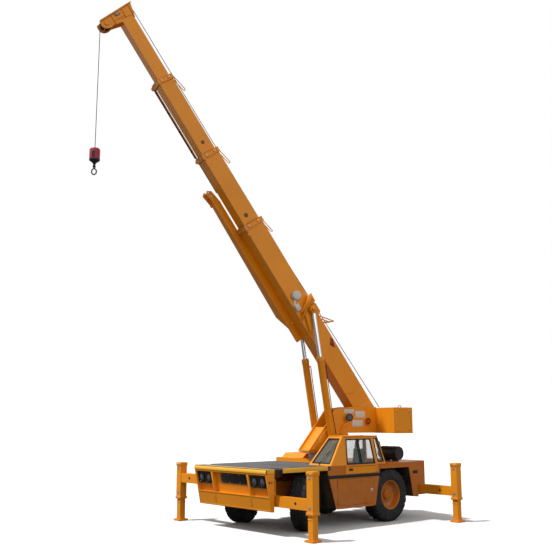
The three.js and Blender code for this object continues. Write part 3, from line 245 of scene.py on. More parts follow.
class Finish:
    """A material under construction."""

    def __init__(self, name):
        self.material = bpy.data.materials.new(name)
        self.material.use_nodes = True
        self.tree = self.material.node_tree
        self.tree.nodes.clear()
        surface = self.add("ShaderNodeBsdfPrincipled", {}, {})
        self.shader = surface.socket.node
        output = self.tree.nodes.new("ShaderNodeOutputMaterial")
        link(self.tree, output.inputs["Surface"], surface)
        self.place = self.add("ShaderNodeTexCoord", {}, {}, "Object")

    def add(self, kind, settings, values, output=0):
        """One node, with its settings first and then the values or links of its inputs."""
        node = self.tree.nodes.new(kind)
        for name, value in settings.items():
            setattr(node, name, value)
        for name, value in values.items():
            link(self.tree, node.inputs[name], value)
        return Socket(self.tree, node.outputs[output])

    def noise(self, scale, detail=3.0, rough=0.55, place=None):
        values = {"Vector": place or self.place, "Scale": scale, "Detail": detail, "Roughness": rough}
        return self.add("ShaderNodeTexNoise", {}, values, "Fac")

    def scaled(self, factors):
        return self.add("ShaderNodeVectorMath", {"operation": "MULTIPLY"}, {0: self.place, 1: factors})

    def mix(self, amount, first, second):
        """Blends two colours. A Mix node's colours are its sockets 6 and 7, and its coloured result is socket 2."""
        settings = {"data_type": "RGBA", "clamp_factor": True}
        return self.add("ShaderNodeMix", settings, {0: amount, 6: opaque(first), 7: opaque(second)}, 2)

    def height(self):
        return self.add("ShaderNodeSeparateXYZ", {}, {0: self.place}, "Z")

    def rounded(self, radius):
        return self.add("ShaderNodeBevel", {"samples": 4}, {"Radius": radius}, "Normal")

    def worn_and_highlit_edges(self, rounded):
        """Large where the rounded normal leaves the flat one, which is along an edge."""
        flat = self.add("ShaderNodeNewGeometry", {}, {}, "Normal")
        return 1.0 - self.add("ShaderNodeVectorMath", {"operation": "DOT_PRODUCT"}, {0: rounded, 1: flat}, "Value")

    def bump(self, height, strength, distance, normal=None):
        values = {"Height": height, "Strength": strength, "Distance": distance, "Normal": normal}
        return self.add("ShaderNodeBump", {}, values)

    def finish(self, **values):
        for name, value in values.items():
            link(self.tree, self.shader.inputs[name.replace("_", " ")], opaque(value))
        return self.material


def opaque(value):
    if isinstance(value, (tuple, list)) and len(value) == 3:
        return (*value, 1.0)
    return value


def shade(colour, factor):
    return tuple(min(1.0, part * factor) for part in colour)


def deeper(colour):
    """The same enamel made darker and redder, for the lower carrier body; on the rims this darkening is also painted
    shade.
    """
    return colour[0] * 0.60, colour[1] * 0.47, colour[2]


# ---------------------------------------------------------------- finishes

def paint(name, colour, grime=0.35, gloss=0.34, wear=0.5, primer=(0.20, 0.10, 0.05)):
    """Sprayed enamel with faded patches, rain streaks, dust near the ground, edges that are worn through and edges
    lightened as a painted highlight.
    """
    made = Finish(name)
    colour = tuple(colour)
    height = made.height()
    fading = made.noise(0.9, 4.0)
    streaks = made.noise(1.0, 4.0, 0.6, made.scaled((9.0, 9.0, 0.55)))
    specks = made.noise(38.0, 5.0, 0.7)
    low = 1.0 - height.smooth(0.15, 1.5)
    dust = (low * 0.75 + 0.18) * made.noise(3.2, 6.0, 0.65).smooth(0.38, 0.78) * grime
    base = made.mix(fading.smooth(0.3, 0.75), colour, shade(colour, 0.86))
    base = made.mix(streaks.smooth(0.52, 0.80) * 0.30 * grime, base, shade(tuple(colours().dust), 0.55))
    base = made.mix(dust, base, tuple(colours().dust))
    base = made.mix(specks.smooth(0.70, 0.78) * 0.35 * grime, base, shade(primer, 0.8))
    rounded = made.rounded(sizes().edge)
    # The edge mask feeds both the worn chips and a painted highlight along the edges.
    edge = made.worn_and_highlit_edges(rounded).smooth(0.04, 0.22)
    chips = edge * made.noise(26.0, 5.0, 0.7).smooth(0.50, 0.60) * wear
    # Painted highlight: the edges are lightened to a brighter copy of the enamel.
    base = made.mix(edge * 0.16, base, shade(colour, 1.35))
    base = made.mix(chips, base, primer)
    rough = (dust * 0.55 + chips * 0.30 + fading * 0.10 + (gloss - 0.05)).clamped()
    peel = made.noise(260.0, 2.0) * 0.5 + specks * 0.5
    normal = made.bump(peel, 0.045, 0.004, rounded)
    return made.finish(Base_Color=base, Roughness=rough, Normal=normal, Specular_IOR_Level=0.25)


def grit_coating(name):
    made = Finish(name)
    dark = tuple(colours().grip)
    grains = made.add("ShaderNodeTexVoronoi", {}, {"Vector": made.place, "Scale": 210.0}, "Distance")
    scuffs = made.noise(1.3, 6.0, 0.65, made.scaled((1.0, 3.0, 1.0)))
    base = made.mix(scuffs.smooth(0.42, 0.72), dark, shade(dark, 2.3))
    base = made.mix(made.noise(9.0, 6.0, 0.7).smooth(0.60, 0.72) * 0.4, base, tuple(colours().dust))
    base = made.mix(grains.smooth(0.45, 0.1) * 0.4, base, shade(dark, 0.5))
    rough = (scuffs * 0.2 + 0.72).clamped()
    return made.finish(Base_Color=base, Roughness=rough, Normal=made.bump(grains, 0.7, 0.003))


def rubber(name, tone=(0.018, 0.018, 0.019), dirt=0.5):
    made = Finish(name)
    mud = made.noise(7.0, 6.0, 0.7)
    fine = made.noise(160.0, 3.0)
    base = made.mix(mud.smooth(0.48, 0.76) * dirt, tone, (0.16, 0.13, 0.10))
    base = made.mix(fine.smooth(0.35, 0.7) * 0.3, base, shade(tone, 1.9))
    rough = (mud * 0.25 + 0.62).clamped()
    return made.finish(Base_Color=base, Roughness=rough, Normal=made.bump(fine, 0.25, 0.002), Specular_IOR_Level=0.3)


def bare_metal(name, colour, rough, stain=0.3, scale=(60.0, 60.0, 6.0)):
    made = Finish(name)
    drawn = made.noise(1.0, 4.0, 0.6, made.scaled(scale))
    film = made.noise(11.0, 5.0, 0.65)
    base = made.mix(film.smooth(0.45, 0.8) * stain, colour, (0.10, 0.07, 0.05))
    roughness = (drawn * 0.14 + film * 0.16 + (rough - 0.1)).clamped()
    normal = made.bump(drawn, 0.05, 0.001, made.rounded(0.002))
    return made.finish(Base_Color=base, Roughness=roughness, Metallic=1.0, Normal=normal)


def wire_rope(name):
    made = Finish(name)
    strands = made.add("ShaderNodeTexWave", {"bands_direction": "DIAGONAL"},
                       {"Vector": made.place, "Scale": 22.0, "Distortion": 0.4}, "Fac")
    grease = made.noise(14.0, 4.0)
    base = made.mix(strands, (0.014, 0.013, 0.012), (0.085, 0.080, 0.075))
    base = made.mix(grease.smooth(0.5, 0.8) * 0.5, base, (0.012, 0.010, 0.008))
    return made.finish(Base_Color=base, Roughness=(grease * 0.3 + 0.35).clamped(), Metallic=0.2,
                       Normal=made.bump(strands, 0.6, 0.004))


def glazing(name):
    made = Finish(name)
    film = made.noise(4.0, 5.0, 0.6)
    smear = made.noise(1.0, 4.0, 0.6, made.scaled((4.0, 4.0, 14.0)))
    base = made.mix(film, (0.10, 0.13, 0.11), (0.20, 0.23, 0.19))
    alpha = (smear.smooth(0.5, 0.8) * 0.12 + 0.34).clamped()
    return made.finish(Base_Color=base, Roughness=(film * 0.06 + 0.02).clamped(), Alpha=alpha, IOR=1.5,
                       Normal=made.bump(smear, 0.02, 0.002))


def plastic(name, colour, rough=0.45):
    made = Finish(name)
    grain = made.noise(190.0, 2.0)
    haze = made.noise(6.0, 5.0, 0.65)
    base = made.mix(haze.smooth(0.4, 0.75) * 0.35, colour, shade(colour, 1.7))
    return made.finish(Base_Color=base, Roughness=(haze * 0.2 + rough - 0.1).clamped(),
                       Normal=made.bump(grain, 0.15, 0.001, made.rounded(0.003)))


def vinyl(name):
    made = Finish(name)
    grain = made.add("ShaderNodeTexVoronoi", {"feature": "DISTANCE_TO_EDGE"}, {"Vector": made.place, "Scale": 260.0})
    rubbed = made.noise(5.0, 5.0, 0.6)
    base = made.mix(rubbed.smooth(0.45, 0.75), (0.020, 0.020, 0.021), (0.060, 0.058, 0.055))
    return made.finish(Base_Color=base, Roughness=(rubbed * 0.2 + 0.45).clamped(),
                       Normal=made.bump(grain, 0.4, 0.001))


def lens(name, colour, glow=0.0):
    made = Finish(name)
    flutes = made.add("ShaderNodeTexWave", {"bands_direction": "Z"}, {"Vector": made.place, "Scale": 34.0}, "Fac")
    base = made.mix(flutes * 0.5, colour, shade(colour, 1.5))
    made.finish(Emission_Strength=glow)
    return made.finish(Base_Color=base, Emission_Color=base, Roughness=(flutes * 0.08 + 0.06).clamped(),
                       Normal=made.bump(flutes, 0.5, 0.003))


FINISHES = {}


def finish_of(name):
    """Materials are made on first use, so that they take the current colours."""
    if name not in FINISHES:
        tint = colours()
        makers = {
            "enamel": lambda: paint("enamel", tint.enamel, 0.26),
            "body_enamel": lambda: paint("body_enamel", deeper(tint.enamel), 0.55, 0.36, 0.7),
            # The lip's lighter enamel is a painted highlight.
            "lip_highlight_enamel": lambda: paint("lip_highlight_enamel", tint.lip, 0.20, 0.30),
            "boom_enamel": lambda: paint("boom_enamel", tint.enamel, 0.18, 0.30),
            # On the rims, the heavy dust is dirt and the darker, redder enamel is painted shade of the recessed wheel
            # centre.
            "rim_enamel": lambda: paint("rim_enamel", deeper(tint.enamel), 1.2, 0.42, 0.8),
            "black_paint": lambda: paint("black_paint", tint.black, 0.35, 0.38, 0.3, (0.10, 0.09, 0.08)),
            "gloss_black": lambda: paint("gloss_black", tint.black, 0.10, 0.20, 0.1, (0.05, 0.05, 0.05)),
            # Dark brown paint for the discs that are painted shade of the boom's holes.
            "hole_shade_brown": lambda: paint("hole_shade_brown", (0.16, 0.055, 0.012), 0.45, 0.40, 0.3, (0.05, 0.03, 0.02)),
            # Near-black paint: the headlights' own black, and painted shade on the arch sheets.
            "lamp_black_and_painted_shade": lambda: paint("lamp_black_and_painted_shade", (0.008, 0.008, 0.008), 0.3, 0.7, 0.0, (0.02, 0.02, 0.02)),
            "white_paint": lambda: paint("white_paint", tint.white, 0.30, 0.36, 0.4, (0.25, 0.20, 0.15)),
            "hook_red": lambda: paint("hook_red", tint.hook, 0.45, 0.30, 0.9, (0.03, 0.02, 0.02)),
            "cap_red": lambda: paint("cap_red", (0.26, 0.018, 0.012), 0.45, 0.36, 0.5, (0.04, 0.02, 0.02)),
            "hook_steel": lambda: paint("hook_steel", (0.020, 0.010, 0.022), 0.2, 0.34, 0.5, (0.10, 0.08, 0.07)),
            "deck_grit": lambda: grit_coating("deck_grit"),
            "tyre_rubber": lambda: rubber("tyre_rubber", (0.010, 0.010, 0.011), 0.28),
            "gasket_rubber": lambda: rubber("gasket_rubber", (0.010, 0.010, 0.010), 0.12),
            "hose_rubber": lambda: rubber("hose_rubber", (0.012, 0.014, 0.020), 0.15),
            "chrome": lambda: bare_metal("chrome", (0.62, 0.64, 0.67), 0.16, 0.12),
            "steel": lambda: bare_metal("steel", (0.20, 0.20, 0.21), 0.45, 0.5),
            "zinc": lambda: bare_metal("zinc", (0.48, 0.47, 0.44), 0.38, 0.35),
            "wire_rope": lambda: wire_rope("wire_rope"),
            "glass": lambda: glazing("glass"),
            "console": lambda: plastic("console", (0.030, 0.028, 0.026), 0.5),
            "trim_grey": lambda: plastic("trim_grey", (0.22, 0.21, 0.19), 0.5),
            "vinyl": lambda: vinyl("vinyl"),
            "clear_lens": lambda: lens("clear_lens", (0.050, 0.056, 0.068), 0.0),
            "amber_lens": lambda: lens("amber_lens", (0.55, 0.16, 0.01), 0.05),
            "red_lens": lambda: lens("red_lens", (0.40, 0.01, 0.01), 0.03),
        }
        FINISHES[name] = makers[name]()
    return FINISHES[name]


# ---------------------------------------------------------------- shapes

SHARP = math.radians(32)
ALL_SMOOTH = math.pi


def sharp_edges(part):
    return [edge for edge in part.edges if len(edge.link_faces) == 2 and edge.calc_face_angle() > SHARP]


def soften(part, width, segments=2):
    bmesh.ops.recalc_face_normals(part, faces=part.faces)
    bmesh.ops.bevel(part, geom=sharp_edges(part), offset=width, offset_type="OFFSET", segments=segments,
                    profile=0.5, affect="EDGES", material=-1, clamp_overlap=True)


ACROSS = {"YZ": Vector((1, 0, 0)), "XZ": Vector((0, 1, 0)), "XY": Vector((0, 0, 1))}


def flat_face(part, outline, level, plane):
    """One face in a plane, at its level along the third axis."""
    points = {"YZ": lambda a, b: (level, a, b), "XZ": lambda a, b: (a, level, b), "XY": lambda a, b: (a, b, level)}
    return part.faces.new([part.verts.new(points[plane](a, b)) for a, b in outline])


def extrude(part, faces, depth, plane):
    made = bmesh.ops.extrude_face_region(part, geom=faces)["geom"]
    moved = [item for item in made if isinstance(item, bmesh.types.BMVert)]
    bmesh.ops.translate(part, vec=ACROSS[plane] * depth, verts=moved)


def turn_to(axis):
    return Vector(axis).to_track_quat("Z", "Y").to_matrix().to_4x4()


class Piece:
    """A mesh put together from parts in a local frame, and then made one object of the crane."""

    def __init__(self, name, place=Matrix.Identity(4)):
        self.name = name
        self.place = place
        self.mesh = bmesh.new()

    def take(self, part, bevel=0.0, segments=2, at=Matrix.Identity(4)):
        if bevel:
            soften(part, bevel, segments)
        bmesh.ops.transform(part, matrix=at, verts=part.verts)
        carrier = bpy.data.meshes.new("part")
        part.to_mesh(carrier)
        part.free()
        self.mesh.from_mesh(carrier)
        bpy.data.meshes.remove(carrier)
        return self

    def block(self, x, y, z, bevel=0.004, at=Matrix.Identity(4)):
        part = bmesh.new()
        bmesh.ops.create_cube(part, size=1.0)
        bmesh.ops.scale(part, vec=(x[1] - x[0], y[1] - y[0], z[1] - z[0]), verts=part.verts)
        bmesh.ops.translate(part, vec=((x[0] + x[1]) / 2, (y[0] + y[1]) / 2, (z[0] + z[1]) / 2), verts=part.verts)
        return self.take(part, bevel, 2, at)

    def rod(self, start, end, radius, sides=24, bevel=0.0, tip=None):
        start, end = Vector(start), Vector(end)
        part = bmesh.new()
        bmesh.ops.create_cone(part, cap_ends=True, cap_tris=False, segments=sides, radius1=radius,
                              radius2=radius if tip is None else tip, depth=(end - start).length)
        return self.take(part, bevel, 2, Matrix.Translation((start + end) / 2) @ turn_to(end - start))

    def bolt(self, at, axis, size=None, height=None):
        size = size or sizes().bolt
        axis = Vector(axis).normalized()
        at = Vector(at)
        self.rod(at, at + axis * size * 0.25, size * 1.35, 16)
        return self.rod(at, at + axis * (height or size * 1.1), size, 6, size * 0.12)

    def lathe(self, profile, at=(0, 0, 0), axis=(0, 0, 1), steps=48, closed=True, bevel=0.0, segments=2):
        """Spins (radius, height) points about the axis."""
        part = bmesh.new()
        verts = [part.verts.new((radius, 0, height)) for radius, height in profile]
        pairs = list(zip(verts, verts[1:])) + ([(verts[-1], verts[0])] if closed else [])
        edges = [part.edges.new(pair) for pair in pairs if pair[0].co.x > 1e-6 or pair[1].co.x > 1e-6]
        bmesh.ops.spin(part, geom=verts + edges, cent=(0, 0, 0), axis=(0, 0, 1), angle=math.tau, steps=steps,
                       use_merge=True)
        bmesh.ops.remove_doubles(part, verts=part.verts, dist=1e-5)
        return self.take(part, bevel, segments, Matrix.Translation(at) @ turn_to(axis))

    def prism(self, outline, low, high, plane="YZ", bevel=0.003, at=Matrix.Identity(4)):
        """Extrudes an outline across its plane, from low to high."""
        part = bmesh.new()
        extrude(part, [flat_face(part, outline, low, plane)], high - low, plane)
        return self.take(part, bevel, 2, at)

    def frame_of(self, outline, width, low, high, plane="YZ", bevel=0.003, at=Matrix.Identity(4)):
        """A flat frame that follows an outline, width wide towards its inside."""
        part = bmesh.new()
        face = flat_face(part, outline, low, plane)
        face.normal_update()
        bmesh.ops.inset_region(part, faces=[face], thickness=width, depth=0.0, use_boundary=True,
                               use_even_offset=True)
        bmesh.ops.delete(part, geom=[face], context="FACES")
        extrude(part, part.faces[:], high - low, plane)
        return self.take(part, bevel, 2, at)

    def hull(self, points, bevel=0.003, at=Matrix.Identity(4)):
        part = bmesh.new()
        for point in points:
            part.verts.new(point)
        made = bmesh.ops.convex_hull(part, input=part.verts[:])
        bmesh.ops.delete(part, geom=made["geom_interior"], context="VERTS")
        return self.take(part, bevel, 2, at)

    def pipe(self, points, radius, corner=0.03, sides=10):
        """A round bar or hose along points, with its corners rounded."""
        curve = bpy.data.curves.new("pipe", "CURVE")
        curve.dimensions = "3D"
        curve.bevel_depth = radius
        curve.bevel_resolution = max(1, (sides - 4) // 2)
        curve.use_fill_caps = True
        route = rounded_route([Vector(point) for point in points], corner)
        spline = curve.splines.new("POLY")
        spline.points.add(len(route) - 1)
        for place, point in zip(spline.points, route):
            place.co = (*point, 1.0)
        holder = bpy.data.objects.new("pipe", curve)
        bpy.context.scene.collection.objects.link(holder)
        bpy.context.view_layer.update()
        made = bpy.data.meshes.new_from_object(holder.evaluated_get(bpy.context.evaluated_depsgraph_get()))
        self.mesh.from_mesh(made)
        bpy.data.objects.remove(holder)
        bpy.data.curves.remove(curve)
        bpy.data.meshes.remove(made)
        return self

    def object(self, material, smooth=SHARP):
        """The finished object. The material is the name of a finish, or one that is already made."""
        bmesh.ops.remove_doubles(self.mesh, verts=self.mesh.verts, dist=1e-6)
        bmesh.ops.recalc_face_normals(self.mesh, faces=self.mesh.faces)
        bmesh.ops.transform(self.mesh, matrix=self.place, verts=self.mesh.verts)
        mesh = bpy.data.meshes.new(self.name)
        self.mesh.to_mesh(mesh)
        self.mesh.free()
        mesh.shade_smooth()
        mesh.set_sharp_from_angle(angle=smooth)
        made = bpy.data.objects.new(self.name, mesh)
        bpy.context.scene.collection.objects.link(made)
        made.data.materials.append(finish_of(material) if isinstance(material, str) else material)
        return made

    def put(self, body, material, slot, *nodes, smooth=SHARP):
        made = self.object(material, smooth)
        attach(made, body)
        if nodes:
            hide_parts(*nodes)
        return made


def rounded_route(points, radius, steps=5):
    """The points with each inner corner swept as a short curve."""
    route = [points[0]]
    for before, corner, after in zip(points, points[1:], points[2:]):
        reach = min(radius, (corner - before).length * 0.45, (after - corner).length * 0.45)
        start = corner + (before - corner).normalized() * reach
        end = corner + (after - corner).normalized() * reach
        for step in range(steps + 1):
            t = step / steps
            route.append(start * (1 - t) ** 2 + corner * 2 * t * (1 - t) + end * t ** 2)
    route.append(points[-1])
    return route


def rectangle(a0, a1, b0, b1):
    return [(a0, b0), (a1, b0), (a1, b1), (a0, b1)]


def mirrored(side, near, far):
    """Limits along X on one side of the middle, the lower one first."""
    return sorted((side * near, side * far))


def ring_points(count, radius, phase=0.0):
    return [(radius * math.cos(math.tau * i / count + phase), radius * math.sin(math.tau * i / count + phase))
            for i in range(count)]


# ---------------------------------------------------------------- stage

CAMERA_AT = Vector((13.489, -10.842, 2.313))      # from the centre line of the front posts
CAMERA_AZIMUTH = math.radians(48.731)
CAMERA_PITCH = math.radians(10.267)
CAMERA_FOCUS = 787.823                            # focal length in columns of the square view
CAMERA_SENSOR = 36.0
SUNS = (  # name, where it stands, strength, width in degrees
    ("key", Vector((-0.20, -0.47, 0.86)), 3.5, 4.0),
    ("fill", Vector((0.90, -0.30, 0.25)), 0.9, 60.0),
)
AMBIENT = 0.42                                    # light of the surroundings on the object
FLOOR_REACH = 90.0
FLOOR_DROP = 0.002                                # below what stands on it
FLOOR_RETURN = 0.15                               # share of the shown tone that lights the object


class CRANE_OT_stage(bpy.types.Operator):
    """Makes the floor, the lights and the camera"""
    bl_idname = "crane.stage"
    bl_label = "Stage"

    def execute(self, context):
        scene = context.scene
        scene.view_settings.view_transform = "Standard"
        floor = Piece("stage_floor")
        floor.block((-FLOOR_REACH, FLOOR_REACH), (-FLOOR_REACH, FLOOR_REACH), (-0.30, -FLOOR_DROP), 0.0)
        made = floor.object(floor_finish())
        world = bpy.data.worlds.new("studio")
        world.use_nodes = True
        scene.world = world
        world_light(world.node_tree)
        for sun in SUNS:
            add_sun(*sun)
        camera = bpy.data.cameras.new("camera")
        camera.sensor_width = CAMERA_SENSOR
        camera.lens = CAMERA_FOCUS * camera.sensor_width / IMAGE
        camera.clip_end = 400.0
        holder = bpy.data.objects.new("camera", camera)
        holder.location = CARRIER @ CAMERA_AT
        holder.rotation_euler = (math.pi / 2 + CAMERA_PITCH, 0.0, CAMERA_AZIMUTH)
        scene.collection.objects.link(holder)
        scene.camera = holder
        return {"FINISHED"}


def floor_finish():
    """The floor is white in view. It gives less light back than it shows, so that undersides stay dark."""
    made = Finish("floor")
    seen = made.add("ShaderNodeLightPath", {}, {}, "Is Camera Ray")
    cloud = made.noise(0.35, 2.0)
    tone = tuple(colours().floor)
    shown = made.mix(cloud, tone, shade(tone, 0.99))
    return made.finish(Base_Color=made.mix(seen, shade(tone, FLOOR_RETURN), shown), Roughness=0.9,
                       Specular_IOR_Level=0.0)


def world_light(tree):
    tree.nodes.clear()
    output = tree.nodes.new("ShaderNodeOutputWorld")
    back = tree.nodes.new("ShaderNodeBackground")
    path = tree.nodes.new("ShaderNodeLightPath")
    seen = Socket(tree, path.outputs["Is Camera Ray"])
    seen = seen.math("MAXIMUM", seen, Socket(tree, path.outputs["Is Glossy Ray"]))
    seen = seen.math("MAXIMUM", seen, Socket(tree, path.outputs["Is Transmission Ray"]))
    link(tree, back.inputs["Strength"], seen * (1.0 - AMBIENT) + AMBIENT)
    back.inputs["Color"].default_value = (1, 1, 1, 1)
    tree.links.new(back.outputs[0], output.inputs["Surface"])


def add_sun(name, source, strength, width):
    light = bpy.data.lights.new(name, "SUN")
    light.energy = strength
    light.angle = math.radians(width)
    holder = bpy.data.objects.new(name, light)
    holder.rotation_euler = source.to_track_quat("Z", "Y").to_euler()
    bpy.context.scene.collection.objects.link(holder)


# ---------------------------------------------------------------- frame finishes

NODE_FINISHES = (
    ("body_enamel", ("cab_tub", "side_hatch", "rear_body", "side_tank", "chassis_frame")),
    ("deck_grit", ("load_deck",)),
    ("boom_enamel", ("boom_base_section", "boom_second_section", "boom_third_section", "boom_fourth_section",
                     "boom_head", "stowed_jib")),
    ("black_paint", ("front_axle", "rear_axle", "left_steering_knuckle", "right_steering_knuckle",
                     "head_sheave", "air_cleaner")),
    ("lamp_black_and_painted_shade", ("left_headlight", "right_headlight")),
    ("steel", ("slew_ring", "engine", "winch_drum")),
    ("white_paint", ("cable_reel",)),
    ("glass", ("door_glass", "quarter_glass", "windscreen")),
    ("console", ("steering_wheel",)),
    ("vinyl", ("seat",)),
    ("wire_rope", ("hoist_rope",)),
    ("hook_red", ("hook_block",)),
    ("tyre_rubber", tuple(f"{end}_{side}_tyre" for end in ENDS for side, _ in SIDES)),
    ("rim_enamel", tuple(f"{end}_{side}_rim" for end in ENDS for side, _ in SIDES)),
    ("chrome", ("left_lift_cylinder_rod", "right_lift_cylinder_rod")),
)


class CRANE_OT_finishes(bpy.types.Operator):
    """Gives every part of the frame its finish"""
    bl_idname = "crane.finishes"
    bl_label = "Finishes"

    def execute(self, context):
        named = {node: finish for finish, nodes in NODE_FINISHES for node in nodes}
        for node, thing in frame["nodes"].items():
            for place in thing.material_slots:
                place.material = finish_of(named.get(node, "enamel"))
        return {"FINISHED"}


# ---------------------------------------------------------------- wheels

TYRE_PROFILE = ((0.312, -0.150), (0.322, -0.172), (0.345, -0.182), (0.400, -0.190), (0.470, -0.190),
                (0.530, -0.182), (0.566, -0.160), (0.577, -0.120), (0.581, -0.050))
RIM_PROFILE = ((0.304, -0.178), (0.324, -0.178), (0.322, -0.163), (0.308, -0.155), (0.304, -0.060),
               (0.292, -0.030), (0.292, 0.030), (0.304, 0.060), (0.308, 0.155), (0.322, 0.163), (0.326, 0.178),
               (0.317, 0.184), (0.306, 0.176), (0.294, 0.150), (0.286, 0.080), (0.272, 0.030), (0.250, 0.010),
               (0.205, 0.002), (0.190, 0.012), (0.150, 0.014), (0.120, 0.014), (0.120, -0.020), (0.255, -0.022),
               (0.280, 0.000), (0.290, -0.040), (0.296, -0.150))
HUB_PROFILE = ((0.0, 0.108), (0.046, 0.108), (0.052, 0.102), (0.058, 0.092), (0.088, 0.088), (0.100, 0.078),
               (0.104, 0.020), (0.124, 0.016), (0.124, -0.018), (0.0, -0.018))
LUG_DEPTH = 0.013
LUG_SKEW = 0.10


def wheel_frame(end, side, sign):
    spin = f"{end}_{side}_wheel_spin"
    out = axis_of(spin)
    out = out if out.x * sign > 0 else -out
    return frame_at(pivot_of(spin), out, (UP - out * UP.dot(out)).normalized())


def add_tyre(place, name):
    tyre = Piece(name, place)
    outer = list(TYRE_PROFILE)
    profile = outer + [(radius, -across) for radius, across in reversed(outer)]
    tyre.lathe(profile, axis=(1, 0, 0), steps=72)
    for across in (-0.0345, 0.0345):
        tyre.lathe([(0.575, across - 0.020), (0.594, across - 0.016), (0.594, across + 0.016),
                    (0.575, across + 0.020)],
                   axis=(1, 0, 0), steps=72)
    count = sizes().tyre_lugs
    pitch = math.tau / count
    for face in (-1, 1):
        for index in range(count):
            start = pitch * (index + (0.5 if face > 0 else 0.0))
            corners = []
            for across, radius, shift, half in ((0.062, 0.594, 0.0, 0.27), (0.140, 0.592, LUG_SKEW, 0.30),
                                                (0.182, 0.560, LUG_SKEW * 1.25, 0.31),
                                                (0.193, 0.500, LUG_SKEW * 1.3, 0.24)):
                for edge in (-half, half):
                    angle = start + shift + edge * pitch
                    for depth in (radius, radius - LUG_DEPTH * 2):
                        corners.append((face * across if depth == radius else face * (across - 0.012),
                                        depth * math.cos(angle), depth * math.sin(angle)))
            tyre.hull(corners, 0.0)
    for face in (-1, 1):
        tyre.lathe([(0.405, face * 0.186), (0.409, face * 0.1935), (0.417, face * 0.1935), (0.421, face * 0.186)],
                   axis=(1, 0, 0), steps=72)
        tyre.lathe([(0.340, face * 0.176), (0.344, face * 0.187), (0.358, face * 0.188), (0.364, face * 0.178)],
                   axis=(1, 0, 0), steps=72)
    return tyre


def add_rim(place, name):
    rim = Piece(name, place)
    rim.lathe(RIM_PROFILE, axis=(1, 0, 0), steps=64)
    rim.lathe(HUB_PROFILE, axis=(1, 0, 0), steps=40, closed=False)
    for y, z in ring_points(10, 0.148):
        rim.bolt((0.013, y, z), (1, 0, 0), 0.0135, 0.022)
        rim.rod((0.03, y, z), (0.046, y, z), 0.007, 10)
    for y, z in ring_points(6, 0.073, 0.3):
        rim.bolt((0.089, y, z), (1, 0, 0), 0.008)
    for y, z in ring_points(8, 0.231, 0.2):
        rim.lathe([(0.013, -0.002), (0.022, -0.002), (0.022, 0.0065), (0.018, 0.008), (0.013, 0.003)],
                  at=(0.004, y, z), axis=(1, 0, 0), steps=20)
    rim.rod((0.02, 0.250, 0.06), (0.075, 0.262, 0.066), 0.006, 10)
    return rim


class CRANE_OT_wheels(bpy.types.Operator):
    """Makes the four tyres and their rims"""
    bl_idname = "crane.wheels"
    bl_label = "Wheels"

    def execute(self, context):
        for end in ENDS:
            for side, sign in SIDES:
                place = wheel_frame(end, side, sign)
                body = f"{end}_{side}_wheel"
                add_tyre(place, f"{body}_tyre").put(body, "tyre_rubber", "tyre_rubber", f"{body[:-6]}_tyre")
                add_rim(place, f"{body}_rim").put(body, "rim_enamel", "yellow_paint", f"{body[:-6]}_rim")
                backs = Piece(f"{body}_brake", place)
                backs.lathe([(0.0, -0.03), (0.19, -0.03), (0.205, -0.045), (0.205, -0.12), (0.19, -0.13),
                             (0.0, -0.13)],
                            axis=(1, 0, 0), steps=36, closed=False, bevel=0.004)
                backs.put(body, "black_paint", "axle_black")
        return {"FINISHED"}


# ---------------------------------------------------------------- carrier

RAKED = Matrix(((1, 0, 0, 0), (0, 1, BUMPER_RAKE, -BUMPER_RAKE * BUMPER_TOP), (0, 0, 1, 0), (0, 0, 0, 1)))


class CRANE_OT_deck(bpy.types.Operator):
    """Makes the grit-coated deck and its lip"""
    bl_idname = "crane.deck"
    bl_label = "Deck"

    def execute(self, context):
        grip = Piece("deck_grip", CARRIER)
        notch, inner = 0.112, 1.020
        grip.prism([(-1.180, -0.225), (1.180, -0.225), (1.180, -notch), (inner, -notch), (inner, notch),
                    (1.180, notch),
                    (1.180, 1.470), (0.505, 1.470), (0.505, 2.050), (-1.185, 2.050), (-1.185, notch), (-inner, notch),
                    (-inner, -notch), (-1.185, -notch)],
                   DECK_TOP - 0.002, DECK_TOP + 0.004, "XY", 0.0015)
        grip.put("chassis", "deck_grit", "deck_coat")
        lip = Piece("deck_lip", CARRIER)
        lip.prism([(-0.350, 1.222), (-0.352, 1.262), (-0.342, 1.290), (-0.320, 1.3085), (-0.290, 1.3125),
                   (-0.240, 1.3125), (-0.240, 1.300), (-0.320, 1.222)], -HALF_WIDTH, HALF_WIDTH, "YZ", 0.002)
        for side in (-1, 1):
            for y in ((DECK_FRONT + 0.02, -notch), (notch, 1.40)):
                lip.block(mirrored(side, 1.200, 1.222), y, (1.222, 1.3125), 0.006)
        # The deck lip takes the lighter enamel, a painted highlight.
        lip.put("chassis", "lip_highlight_enamel", "yellow_paint")
        return {"FINISHED"}


